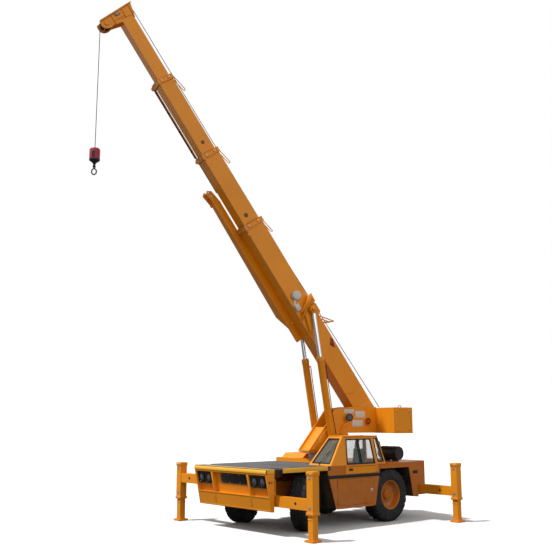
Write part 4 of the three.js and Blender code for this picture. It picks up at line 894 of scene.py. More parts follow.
class CRANE_OT_bumper(bpy.types.Operator):
    """Makes the fittings of the front bumper"""
    bl_idname = "crane.bumper"
    bl_label = "Bumper"

    def execute(self, context):
        folded = Piece("bumper_folds", CARRIER @ RAKED)
        at_face = DECK_FRONT
        for rib in (-0.61, 0.61):
            folded.block((rib - 0.028, rib + 0.028), (at_face - 0.006, at_face + 0.02), (0.55, 1.19), 0.005)
        folded.block((-1.20, 1.20), (at_face - 0.007, at_face + 0.01), (1.186, 1.212), 0.005)
        folded.block((-1.20, 1.20), (at_face - 0.007, at_face + 0.02), (0.742, 0.766), 0.005)
        folded.block((-1.18, 1.18), (at_face - 0.004, at_face + 0.02), (0.480, 0.500), 0.004)
        for side in (-1, 1):
            folded.block(mirrored(side, 1.190, 1.218), (at_face - 0.006, at_face + 0.02), (0.50, 1.205), 0.005)
        folded.put("chassis", "enamel", "yellow_paint")

        plate = Piece("bumper_plate", CARRIER @ RAKED)
        plate.block((-0.39, 0.54), (at_face + RECESS - 0.014, at_face + RECESS + 0.004), (0.965, 1.175), 0.006)
        plate.put("chassis", "gloss_black", "lamp_housing")
        bolts = Piece("bumper_bolts", CARRIER @ RAKED)
        for x in (-0.34, -0.10, 0.25, 0.49):
            for z in (0.99, 1.15):
                bolts.bolt((x, at_face + RECESS - 0.013, z), (0, -1, 0), 0.008)
        for x in (-1.12, -0.70, 0.70, 1.12):
            for z in (0.80, 0.90):
                bolts.bolt((x, at_face + RECESS, z), (0, -1, 0), 0.009)
        bolts.put("chassis", "zinc", "chrome")

        for side, sign in SIDES:
            frame_piece = Piece(f"{side}_lamp_frame", CARRIER @ RAKED)
            low, high = mirrored(sign, 0.652, 1.156)
            frame_piece.frame_of(rectangle(low, high, 0.937, 1.163), 0.020, at_face + 0.016, at_face + 0.040, "XZ",
                                 0.005)
            centres = [(sign * x, 1.05) for x in (0.775, 1.030)]
            for x, z in centres:
                frame_piece.lathe([(0.070, 0.0), (0.094, 0.0), (0.098, 0.012), (0.094, 0.028), (0.078, 0.028),
                                   (0.072, 0.014)], at=(x, at_face + 0.036, z), axis=(0, -1, 0), steps=40)
            frame_piece.put("chassis", "gloss_black", "lamp_housing")
            glass = Piece(f"{side}_lamp_lenses", CARRIER @ RAKED)
            for x, z in centres:
                glass.lathe([(0.0, 0.024), (0.03, 0.0235), (0.055, 0.020), (0.074, 0.010), (0.074, 0.0), (0.0, 0.0)],
                            at=(x, at_face + 0.034, z), axis=(0, -1, 0), steps=40, closed=False)
            glass.put("chassis", "clear_lens", "glass")
            marker = Piece(f"{side}_front_marker", CARRIER)
            marker.block(mirrored(sign, 1.215, 1.236), (-0.265, -0.175), (1.035, 1.075), 0.006)
            marker.put("chassis", "gloss_black", "lamp_housing")
            turn_lens = Piece(f"{side}_turn_lens", CARRIER)
            turn_lens.block(mirrored(sign, 1.228, 1.240), (-0.255, -0.185), (1.041, 1.069), 0.004)
            turn_lens.put("chassis", "amber_lens", "glass")
        return {"FINISHED"}


class CRANE_OT_outriggers(bpy.types.Operator):
    """Makes the fittings of the outrigger beams, posts and feet"""
    bl_idname = "crane.outriggers"
    bl_label = "Outriggers"

    def execute(self, context):
        for end, y in (("front", 0.0), ("rear", REAR_POST)):
            for side, sign in SIDES:
                place = CARRIER @ Matrix.Translation((sign * POST_X, y, 0))
                beam = f"{end}_{side}_beam"
                leg = f"{end}_{side}_leg"
                half = POST_HALF
                sleeve = Piece(f"{beam}_sleeve", place)
                for low, high, grow in ((POST_LOW, POST_LOW + 0.055, 0.012),
                                        (POST_TOP - 0.075, POST_TOP + 0.001, 0.010)):
                    sleeve.frame_of(rectangle(-half - grow, half + grow, -half - grow, half + grow), grow + 0.002,
                                    low, high, "XY", 0.003)
                sleeve.lathe([(0.0, POST_TOP + 0.0005), (0.052, POST_TOP + 0.0005), (0.052, POST_TOP + 0.0012),
                              (0.0, POST_TOP + 0.0012)], closed=False, steps=24)
                z = BEAM_Z[side]
                inward = -sign
                near, far = mirrored(inward, half, half + 0.014)
                for face in (-1, 1):
                    sleeve.prism(rectangle(near, far, z - 0.075, z + 0.075), *mirrored(face, 0.075, 0.0865), "XZ",
                                 0.003)
                if end == "front":
                    hangs = z + 0.075
                    sleeve.prism([(inward * (half - 0.004), hangs), (inward * (half + 0.014), hangs),
                                  (inward * (half - 0.004), hangs + 0.16)], -0.006, 0.006, "XZ", 0.002)
                    sleeve.prism([(inward * (half - 0.004), z - 0.075), (inward * (half + 0.014), z - 0.075),
                                  (inward * (half - 0.004), z - 0.15)], -0.006, 0.006, "XZ", 0.002)
                sleeve.put(beam, "enamel", "yellow_paint")
                details = Piece(f"{beam}_plates", place)
                for low in (0.60, 1.155):
                    details.block((-0.034, 0.034), (-half - 0.0035, -half + 0.002), (low, low + 0.062), 0.001)
                details.put(beam, "trim_grey", "white_paint")
                caps = Piece(f"{beam}_bolts", place)
                for z_bolt in (POST_LOW + 0.03, POST_TOP - 0.04):
                    for x in (-0.045, 0.045):
                        caps.bolt((x, -half - 0.010, z_bolt), (0, -1, 0), 0.010)
                        caps.bolt((x, half + 0.010, z_bolt), (0, 1, 0), 0.010)
                caps.put(beam, "zinc", "chrome")
                shoe = Piece(f"{leg}_shoe", place)
                shoe.frame_of(rectangle(-0.1195, 0.1195, -0.1195, 0.1195), 0.014, 0.003, 0.040, "XY", 0.004)
                for x in (-1, 1):
                    shoe.prism([(x * 0.066, 0.022), (x * 0.112, 0.022), (x * 0.066, 0.085)], -0.005, 0.005, "XZ",
                               0.002)
                    shoe.prism([(x * 0.066, 0.022), (x * 0.112, 0.022), (x * 0.066, 0.085)], -0.005, 0.005, "YZ",
                               0.002)
                shoe.frame_of(rectangle(-0.074, 0.074, -0.074, 0.074), 0.006, 0.405, 0.425, "XY", 0.002)
                shoe.put(leg, "enamel", "yellow_paint")
        ways = Piece("outrigger_ways", CARRIER)
        for y in (0.0, REAR_POST):
            for side, sign in SIDES:
                z = BEAM_Z[side]
                low, high = mirrored(sign, 1.005, 1.035)
                ways.frame_of(rectangle(y - 0.098, y + 0.098, z - 0.128, z + 0.128), 0.021, low, high, "YZ", 0.004)
        ways.put("chassis", "enamel", "yellow_paint")
        return {"FINISHED"}


# ---------------------------------------------------------------- cab

CAB_SIDE = Matrix(((1, 0, CAB_LEAN, -CAB_LEAN * DECK_TOP), (0, 1, 0, 0), (0, 0, 1, 0), (0, 0, 0, 1)))
CAB_FACE = Matrix(((1, 0, 0, 0), (0, 1, CAB_RAKE, -CAB_RAKE * DECK_TOP), (0, 0, 1, 0), (0, 0, 0, 1)))
DOOR_OPENING = ((2.000, 1.330), (2.910, 1.330), (2.885, 1.860), (2.095, 1.860))
QUARTER_OPENING = ((3.010, 1.350), (3.215, 1.350), (3.125, 1.880), (2.990, 1.880))
WHEEL_CENTRE = Vector((0.890, 2.080, 1.400))
WHEEL_AXIS = Vector((0, 0.300, 0.696)).normalized()
STRIPE = (1.040, 1.110)      # heights of the rub strip
STRIP_ACROSS = (SKIN, 1.2265)


def cab_edge(z, low, high):
    return low + (high - low) * (z - DECK_TOP) / 0.62


def grown(outline, reach):
    """The outline moved outwards from its middle, by about reach."""
    middle = sum((Vector(point) for point in outline), Vector((0, 0))) / len(outline)
    return [tuple(Vector(point) + Vector([math.copysign(reach, part) for part in Vector(point) - middle]))
            for point in outline]


def cushion(name, low, high, crown, channels, pull=0.06):
    """A stuffed pad. Its faces are crowned, its sides are drawn in between the corners and its channels are sewn."""
    pad = Piece(name, CARRIER)
    part = bmesh.new()
    bmesh.ops.create_cube(part, size=2.0)
    bmesh.ops.subdivide_edges(part, edges=part.edges[:], cuts=15, use_grid_fill=True)
    size = (Vector(high) - Vector(low)) / 2
    middle = (Vector(high) + Vector(low)) / 2
    thin = min(range(3), key=lambda index: size[index])
    across, along = [index for index in range(3) if index != thin]
    for vert in part.verts:
        u, v, w = vert.co[across], vert.co[along], vert.co[thin]
        roundness = (1 - abs(u) ** 5) * (1 - abs(v) ** 5)
        swell = 0.55 + 0.45 * roundness + crown * (1 - u * u) * (1 - v * v)
        seam = sum(math.exp(-((u - at) / 0.045) ** 2) for at in channels)
        vert.co[thin] = w * (swell - 0.16 * seam * roundness)
        draw = 1 - 0.05 * abs(w) ** 4
        vert.co[across] = u * draw * (1 - pull * (1 - v * v) * abs(u))
        vert.co[along] = v * draw * (1 - pull * (1 - u * u) * abs(v))
    bmesh.ops.scale(part, vec=size, verts=part.verts)
    bmesh.ops.smooth_vert(part, verts=part.verts, factor=0.5, use_axis_x=True, use_axis_y=True, use_axis_z=True)
    bmesh.ops.translate(part, vec=middle, verts=part.verts)
    pad.take(part)
    return pad


class CRANE_OT_seat(bpy.types.Operator):
    """Makes the seat, the steering wheel and the controls"""
    bl_idname = "crane.seat"
    bl_label = "Seat and controls"

    def execute(self, context):
        base = Piece("seat_base", CARRIER)
        base.block((0.775, 1.045), (2.31, 2.67), (0.665, 1.02), 0.012)
        base.block((0.745, 1.075), (2.28, 2.70), (1.02, 1.075), 0.015)
        base.prism([(2.680, 1.05), (2.735, 1.05), (2.775, 1.64), (2.745, 1.64)], 0.765, 1.055, "YZ", 0.010)
        base.put("chassis", "console", "black_paint", "seat")
        bottom = cushion("seat_cushion", (0.735, 2.272, 1.075), (1.085, 2.665, 1.190), 0.12, (-0.42, 0.42))
        pad = bottom.put("chassis", "vinyl", "seat_vinyl", smooth=ALL_SMOOTH)
        lean = (Matrix.Translation((0, 2.665, 1.18)) @ Matrix.Rotation(math.radians(-10), 4, "X")
                @ Matrix.Translation((0, -2.665, -1.18)))
        back = cushion("seat_back", (0.745, 2.600, 1.190), (1.075, 2.700, 1.640), 0.12, (-0.42, 0.42))
        back.place = CARRIER @ lean
        pad = back.put("chassis", "vinyl", "seat_vinyl", smooth=ALL_SMOOTH)

        helm = Piece("steering_wheel_detail", CARRIER)
        helm.lathe([(0.166 + x, y) for x, y in ring_points(12, 0.0135)], at=WHEEL_CENTRE, axis=WHEEL_AXIS, steps=48)
        helm.lathe([(0.0, -0.03), (0.038, -0.03), (0.048, -0.005), (0.040, 0.014), (0.0, 0.018)], at=WHEEL_CENTRE,
                   axis=WHEEL_AXIS, steps=28, closed=False)
        turn = turn_to(WHEEL_AXIS)
        for x, y in ring_points(3, 1.0, 0.5):
            reach = turn.to_3x3() @ Vector((x, y, 0))
            helm.rod(WHEEL_CENTRE + reach * 0.035 - WHEEL_AXIS * 0.006, WHEEL_CENTRE + reach * 0.160, 0.009, 10)
        helm.rod(WHEEL_CENTRE - WHEEL_AXIS * 0.55, WHEEL_CENTRE - WHEEL_AXIS * 0.02, 0.026, 20, 0.004)
        helm.block((0.812, 0.968), (1.740, 1.845), (0.665, 0.898), 0.015)
        helm.put("chassis", "console", "black_paint", "steering_wheel")

        dash = Piece("cab_console", CARRIER)
        dash.prism([(1.760, 1.325), (1.900, 1.325), (1.905, 1.405), (1.835, 1.425)], 0.62, 1.13, "YZ", 0.010)
        dash.block((0.60, 0.70), (2.30, 2.66), (0.90, 1.16), 0.012)
        for index in range(4):
            at = Vector((0.65, 2.36 + 0.07 * index, 1.16))
            dash.rod(at, at + Vector((0, -0.015, 0.15)), 0.006, 8)
            dash.rod(at + Vector((0, -0.015, 0.145)), at + Vector((0, -0.019, 0.185)), 0.015, 12, 0.005)
        dash.put("chassis", "console", "black_paint")
        return {"FINISHED"}


class CRANE_OT_cab(bpy.types.Operator):
    """Makes the window rubbers, the wiper, the handles and the rub strips of the cab"""
    bl_idname = "crane.cab"
    bl_label = "Cab"

    def execute(self, context):
        width = sizes().gasket
        door = Piece("door_window_rubber", CARRIER @ CAB_SIDE)
        door.frame_of(grown(DOOR_OPENING, 0.012), width, 1.208, 1.228, "YZ", 0.005)
        for y in (2.430, 2.475):
            door.prism([(y, 1.335), (y + 0.022, 1.335), (y + 0.022, 1.855), (y, 1.855)], 1.203, 1.222, "YZ", 0.003)
        door.put("door", "gasket_rubber", "lamp_housing")
        fixed = Piece("quarter_window_rubber", CARRIER @ CAB_SIDE)
        fixed.frame_of(grown(QUARTER_OPENING, 0.006), width * 0.8, 1.208, 1.228, "YZ", 0.005)
        fixed.put("chassis", "gasket_rubber", "lamp_housing")
        face = [(cab_edge(z, low, high) + shift, z) for z, low, high, shift in (
            (1.355, 0.532, 0.662, 0.055), (1.355, 1.22, 1.08, -0.055), (1.882, 1.22, 1.08, -0.055),
            (1.882, 0.532, 0.662, 0.055))]
        screen = Piece("windscreen_rubber", CARRIER @ CAB_FACE)
        screen.frame_of(grown(face, 0.004), width * 0.85, 1.478, 1.498, "XZ", 0.005)
        screen.put("chassis", "gasket_rubber", "lamp_housing")
        wiper = Piece("wiper", CARRIER @ CAB_FACE)
        wiper.rod((0.86, 1.486, 1.345), (0.86, 1.455, 1.345), 0.014, 14, 0.003)
        wiper.pipe([(0.86, 1.462, 1.345), (0.93, 1.458, 1.53), (0.99, 1.466, 1.66)], 0.005, 0.02)
        wiper.pipe([(0.93, 1.474, 1.52), (1.03, 1.474, 1.79)], 0.006, 0.02)
        wiper.put("chassis", "gasket_rubber", "lamp_housing")

        trim = Piece("cab_roof_trim", CARRIER)
        for side, low, high in ((1, 1.08, 1.08), (-1, 0.662, 0.662)):
            trim.pipe([(low + side * 0.004, 2.02, 1.926), (high + side * 0.004, 3.13, 1.926)], 0.012, 0.01)
        trim.pipe([(0.68, 1.998, 1.926), (1.06, 1.998, 1.926)], 0.012, 0.01)
        trim.block((0.72, 1.02), (2.20, 2.98), (1.927, 1.938), 0.005)
        trim.put("chassis", "enamel", "yellow_paint")

        seam = Piece("door_edges", CARRIER)
        seam.block((1.2195, 1.2235), (2.02, 2.90), (1.268, 1.292), 0.001)
        seam.put("door", "body_enamel", "yellow_paint")
        handle = Piece("door_handle", CARRIER)
        handle.block((1.2195, 1.230), (2.055, 2.175), (1.190, 1.240), 0.004)
        handle.pipe([(1.226, 2.07, 1.215), (1.252, 2.08, 1.215), (1.252, 2.15, 1.215), (1.226, 2.16, 1.215)], 0.008,
                    0.012)
        handle.put("door", "black_paint", "black_paint")
        latch = Piece("hatch_latch", CARRIER)
        latch.block(STRIP_ACROSS, (2.745, 2.815), (0.70, 0.78), 0.003)
        latch.rod((1.222, 2.78, 0.74), (1.236, 2.78, 0.74), 0.013, 18, 0.003)
        latch.put("hatch", "zinc", "chrome")
        ribs = Piece("hatch_ribs", CARRIER)
        ribs.frame_of(rectangle(1.722, 2.808, 0.492, 0.988), 0.022, SKIN, 1.2235, "YZ", 0.002)
        ribs.put("hatch", "body_enamel", "yellow_paint")

        strip = Piece("rub_strip", CARRIER)
        strip.block(STRIP_ACROSS, (1.40, 1.93), STRIPE, 0.004)
        strip.block(STRIP_ACROSS, (2.98, 3.055), STRIPE, 0.004)
        strip.put("chassis", "gasket_rubber", "black_paint")
        strip = Piece("rub_strip_door", CARRIER)
        strip.block(STRIP_ACROSS, (1.935, 2.975), (STRIPE[0], 1.109), 0.004)
        strip.put("chassis", "gasket_rubber", "black_paint")
        step = Piece("cab_step", CARRIER)
        step.block((1.12, 1.222), (1.72, 2.84), (0.400, 0.418), 0.004)
        for y in (1.80, 2.76):
            step.block((1.10, 1.14), (y - 0.02, y + 0.02), (0.41, 0.50), 0.004)
        step.put("chassis", "body_enamel", "yellow_paint")
        rail = Piece("cab_grab_rail", CARRIER)
        rail.pipe([(1.10, 3.232, 1.36), (1.135, 3.300, 1.36), (1.095, 3.205, 1.80), (1.075, 3.165, 1.80)], 0.011,
                  0.05)
        rail.put("chassis", "black_paint", "black_paint")
        return {"FINISHED"}


# ---------------------------------------------------------------- rear of the carrier

class CRANE_OT_rear(bpy.types.Operator):
    """Makes the fittings of the hood, the rear body and the air cleaner"""
    bl_idname = "crane.rear"
    bl_label = "Rear body"

    def execute(self, context):
        # Near-black sheets behind the front wheels and over the rear wheels: painted shade in the wheel arches.
        arch_shade_sheets = Piece("arch_painted_shade", CARRIER)
        arch_shade_sheets.prism([(1.386, 1.165), (1.394, 1.165), (1.639, 0.415), (1.631, 0.415)], 0.53, 1.214, "YZ", 0.001)
        arch_shade_sheets.prism([(2.907, 0.415), (3.042, 1.040), (3.077, 1.194), (3.085, 1.192), (3.050, 1.038), (2.915, 0.413)],
                     1.197, 1.221, "YZ", 0.001)
        for sign in (-1, 1):
            across = mirrored(sign, 0.60, 1.214)
            arch_shade_sheets.block(across, (3.085, 4.085), (1.1905, 1.1945), 0.001)
            arch_shade_sheets.prism([(4.080, 1.194), (4.088, 1.194), (4.228, 0.517), (4.220, 0.517)], *across, "YZ", 0.001)
            arch_shade_sheets.block(mirrored(sign, 0.60, 0.61), (3.06, 4.08), (0.80, 1.194), 0.001)
        arch_shade_sheets.put("chassis", "lamp_black_and_painted_shade", "black_paint")

        hood = Piece("hood_panels", CARRIER)
        hood.block((-1.17, -0.62), (2.42, 3.02), (1.4995, 1.5045), 0.002)
        hood.block((-0.58, -0.03), (2.42, 3.02), (1.4995, 1.5045), 0.002)
        for index in range(7):
            y = 2.50 + index * 0.062
            hood.prism([(y, 1.503), (y + 0.038, 1.503), (y + 0.030, 1.519)], -1.08, -0.72, "YZ", 0.003)
        hood.frame_of(rectangle(2.10, 3.02, 1.235, 1.385), 0.018, -1.2245, -SKIN, "YZ", 0.002)
        for index in range(9):
            y = 2.46 + index * 0.055
            hood.prism([(y, 1.26), (y + 0.012, 1.26), (y + 0.012, 1.36), (y, 1.36)], -1.229, -SKIN, "YZ", 0.003)
        hood.put("chassis", "enamel", "yellow_paint")

        body = Piece("rear_body_seams", CARRIER)
        body.block((-1.19, 1.19), (3.60, 3.63), (1.3095, 1.3145), 0.002)
        body.block((-1.19, 1.19), (4.30, 4.33), (1.3095, 1.3145), 0.002)
        for sign in (-1, 1):
            body.block(mirrored(sign, SKIN, 1.2235), (3.10, 4.44), (1.278, 1.302), 0.002)
            body.block(mirrored(sign, 0.9985, 1.0035), (4.47, 4.94), (1.270, 1.300), 0.002)
        body.frame_of(rectangle(-0.72, 0.72, 0.70, 1.22), 0.022, 4.9485, 4.9535, "XZ", 0.002)
        for index in range(8):
            z = 0.76 + index * 0.054
            body.prism([(4.949, z), (4.949, z + 0.034), (4.960, z + 0.006)], -0.60, 0.60, "YZ", 0.002)
        body.put("chassis", "body_enamel", "yellow_paint")
        marker = Piece("rear_side_marker", CARRIER)
        for sign in (-1, 1):
            marker.block(mirrored(sign, SKIN, 1.2285), (4.23, 4.40), STRIPE, 0.004)
        marker.put("chassis", "gasket_rubber", "black_paint")
        lamps = Piece("rear_lamps", CARRIER)
        for sign in (-1, 1):
            lamps.frame_of(rectangle(*mirrored(sign, 0.78, 0.95), 1.07, 1.20), 0.014, 4.949, 4.969, "XZ", 0.004)
        lamps.put("chassis", "gloss_black", "lamp_housing")
        lenses = Piece("rear_lenses", CARRIER)
        for sign in (-1, 1):
            lenses.block(mirrored(sign, 0.794, 0.936), (4.949, 4.963), (1.084, 1.186), 0.004)
        lenses.put("chassis", "red_lens", "glass")

        centre = Vector((0, 4.020, 1.505))
        cleaner = Piece("air_cleaner_detail", CARRIER)
        cleaner.lathe([(0.0, 0.470), (0.120, 0.470), (0.150, 0.474), (0.163, 0.490), (0.163, 0.560), (0.158, 0.563),
                       (0.158, 0.572), (0.163, 0.575), (0.163, 0.905), (0.158, 0.908), (0.158, 0.917), (0.163, 0.920),
                       (0.163, 0.985), (0.152, 1.006), (0.0, 1.010)], at=centre, axis=(1, 0, 0), steps=48,
                       closed=False)
        cleaner.lathe([(0.0, 0.410), (0.105, 0.410), (0.119, 0.420), (0.119, 0.468), (0.0, 0.470)], at=centre,
                      axis=(1, 0, 0), steps=40, closed=False)
        for x in (0.62, 0.86):
            cleaner.lathe([(0.163, x - 0.018), (0.1645, x - 0.018), (0.1645, x + 0.018), (0.163, x + 0.018)],
                          at=centre, axis=(1, 0, 0), steps=48)
            cleaner.prism([(3.90, 1.312), (4.14, 1.312), (4.11, 1.40), (3.93, 1.40)], x - 0.012, x + 0.012, "YZ",
                          0.004)
        cleaner.put("chassis", "black_paint", "black_paint", "air_cleaner")
        bands = Piece("air_cleaner_bands", CARRIER)
        for x in (0.62, 0.86):
            bands.lathe([(0.1640, x - 0.011), (0.1658, x - 0.011), (0.1658, x + 0.011), (0.1640, x + 0.011)],
                        at=centre, axis=(1, 0, 0), steps=48)
            bands.bolt((x, centre.y - 0.166, centre.z + 0.02), (0, -1, 0), 0.009, 0.012)
        bands.put("chassis", "gasket_rubber", "black_paint")
        return {"FINISHED"}


# ---------------------------------------------------------------- turret

def turret_outline(points):
    """Outline points as ahead and up, for a prism in the turret's frame."""
    return [(-ahead, up) for ahead, up in points]


class CRANE_OT_turret(bpy.types.Operator):
    """Makes the fittings of the turret and its counterweight"""
    bl_idname = "crane.turret"
    bl_label = "Turret"

    def execute(self, context):
        plates = Piece("turret_plates", TURRET)
        face = CHEEK_OUT
        for (q0, z0), (q1, z1) in (((-0.432, 2.532), (-0.700, 2.440)), ((-0.735, 2.490), (-1.000, 2.335)),
                                   ((-0.652, 2.278), (-0.938, 2.131))):
            plates.prism(turret_outline([(q0, z0), (q0, z1), (q1, z1), (q1, z0)]), face - 0.001, face + 0.005, "YZ",
                         0.002)
        plates.put("turret", "white_paint", "white_paint")

        lamp = Piece("work_lamp", TURRET)
        centre = turret_point(-0.50, face + 0.13, 2.341)
        lamp.lathe([(0.0, -0.085), (0.035, -0.082), (0.062, -0.055), (0.082, 0.0), (0.086, 0.022), (0.080, 0.028),
                    (0.074, 0.018), (0.060, -0.012), (0.0, -0.030)], at=centre, axis=turret_point(0.55, 1.0, 0.05),
                    steps=40,
                   closed=False)
        lamp.put("turret", "gloss_black", "lamp_housing")
        lens_piece = Piece("work_lamp_lens", TURRET)
        lens_piece.lathe([(0.0, 0.022), (0.05, 0.018), (0.072, 0.008), (0.072, 0.0), (0.0, 0.0)], at=centre,
                         axis=turret_point(0.55, 1.0, 0.05), steps=40, closed=False)
        lens_piece.put("turret", "clear_lens", "glass")
        bar = Piece("work_lamp_bar", TURRET)
        bar.pipe([turret_point(-0.50, face + 0.10, 2.26), turret_point(-0.47, face + 0.10, 2.20),
                  turret_point(-0.385, face + 0.09, 2.168), turret_point(-0.301, face + 0.06, 1.99),
                  turret_point(-0.29, face - 0.01, 1.96)], 0.020, 0.05, 14)
        bar.pipe([turret_point(-0.50, face + 0.10, 2.26), turret_point(-0.50, face + 0.115, 2.30)], 0.014, 0.01, 12)
        bar.block((face - 0.004, face + 0.012), (0.235, 0.345), (1.90, 2.02), 0.004)
        bar.prism(turret_outline([(0.10, 1.60), (0.38, 1.60), (0.20, 1.92), (0.13, 1.92)]), face - 0.002,
                  face + 0.010, "YZ", 0.003)
        for outline in ([(0.39, 1.62), (0.415, 1.62), (0.03, 2.10), (0.005, 2.10)],
                        [(-0.42, 1.62), (-0.395, 1.62), (-0.52, 1.97), (-0.545, 1.97)]):
            bar.prism(turret_outline(outline), face - 0.004, face + 0.014, "YZ", 0.005)
        bar.block((-0.26, 0.26), (-0.49, -0.35), (1.5395, 1.556), 0.004)
        bar.put("turret", "enamel", "yellow_paint")

        pin = Piece("boom_foot_pin", TURRET)
        foot = TURRET.inverted() @ pivot_of("luff")
        for side in (-1, 1):
            at = Vector((side * face, foot.y, foot.z))
            pin.lathe([(0.055, -0.001), (0.100, -0.001), (0.104, 0.010), (0.096, 0.022), (0.084, 0.022),
                       (0.078, 0.006), (0.055, 0.006)], at=at, axis=(side, 0, 0), steps=40)
        pin.put("turret", "enamel", "yellow_paint")
        boss = Piece("boom_foot_cap", TURRET)
        for side in (-1, 1):
            at = Vector((side * face, foot.y, foot.z))
            boss.lathe([(0.0, 0.012), (0.058, 0.012), (0.078, 0.006), (0.078, -0.001), (0.0, -0.001)], at=at,
                       axis=(side, 0, 0), steps=36, closed=False)
            for y, z in ring_points(5, 0.045):
                boss.bolt(at + Vector((side * 0.011, y, z)), (side, 0, 0), 0.009)
        boss.put("turret", "cap_red", "red_paint")

        weight = Piece("counterweight_fittings", TURRET)
        for side in (-1, 1):
            weight.lathe([(0.030, -0.008), (0.044, -0.008), (0.044, 0.008), (0.030, 0.008)],
                         at=turret_point(-1.60, side * 0.86, 2.588), axis=(1, 0, 0), steps=24)
            for q in (-1.42, -1.72):
                weight.block(mirrored(side, 0.46, 1.02), (-q - 0.006, -q + 0.006), (2.5695, 2.5745), 0.002)
            weight.frame_of(rectangle(1.345, 1.79, 2.01, 2.54), 0.016, *mirrored(side, 1.0495, 1.0535), "YZ", 0.0015)
            for z in (2.06, 2.49):
                weight.bolt((side * 1.05, 1.40, z), (side, 0, 0), 0.022)
                weight.bolt((side * 1.05, 1.735, z), (side, 0, 0), 0.022)
        weight.put("turret", "enamel", "weight_paint")
        return {"FINISHED"}


class CRANE_OT_winch(bpy.types.Operator):
    """Makes the winch with its wound rope"""
    bl_idname = "crane.winch"
    bl_label = "Winch"

    def execute(self, context):
        spin = pivot_of("winch_spin")
        place = frame_at(spin, LEFT, UP)
        drum = Piece("winch_flanges", place)
        for side in (-1, 1):
            low, high = mirrored(side, 0.200, 0.216)
            drum.lathe([(0.0, low), (0.132, low), (0.139, low + 0.004), (0.139, high - 0.004), (0.132, high),
                        (0.0, high)],
                       axis=(1, 0, 0), steps=48, closed=False)
            for y, z in ring_points(6, 0.085):
                drum.bolt((side * 0.216, y, z), (side, 0, 0), 0.010)
        drum.rod((-0.20, 0, 0), (0.20, 0, 0), 0.094, 40)
        drum.rod((-0.275, 0, 0), (0.275, 0, 0), 0.029, 24)
        drum.put("winch", "cap_red", "red_paint", "winch_drum")
        turns = Piece("winch_rope", place)
        rope = sizes().rope
        pitch = rope * 2.02
        count = int(0.385 / pitch)
        for layer, radius in enumerate((0.094 + rope, 0.094 + rope * 2.75, 0.094 + rope * 4.4)):
            for index in range(count - layer):
                x = -0.192 + rope + pitch * (index + 0.5 * layer)
                turns.lathe([(radius + u, x + v) for u, v in ring_points(6, rope)], axis=(1, 0, 0), steps=36)
        turns.put("winch", "wire_rope", "wire_rope")
        return {"FINISHED"}


# ---------------------------------------------------------------- boom

def boom_outline(points):
    """Outline points as along and out, for a prism in the boom's frame."""
    return [(-along, out) for along, out in points]


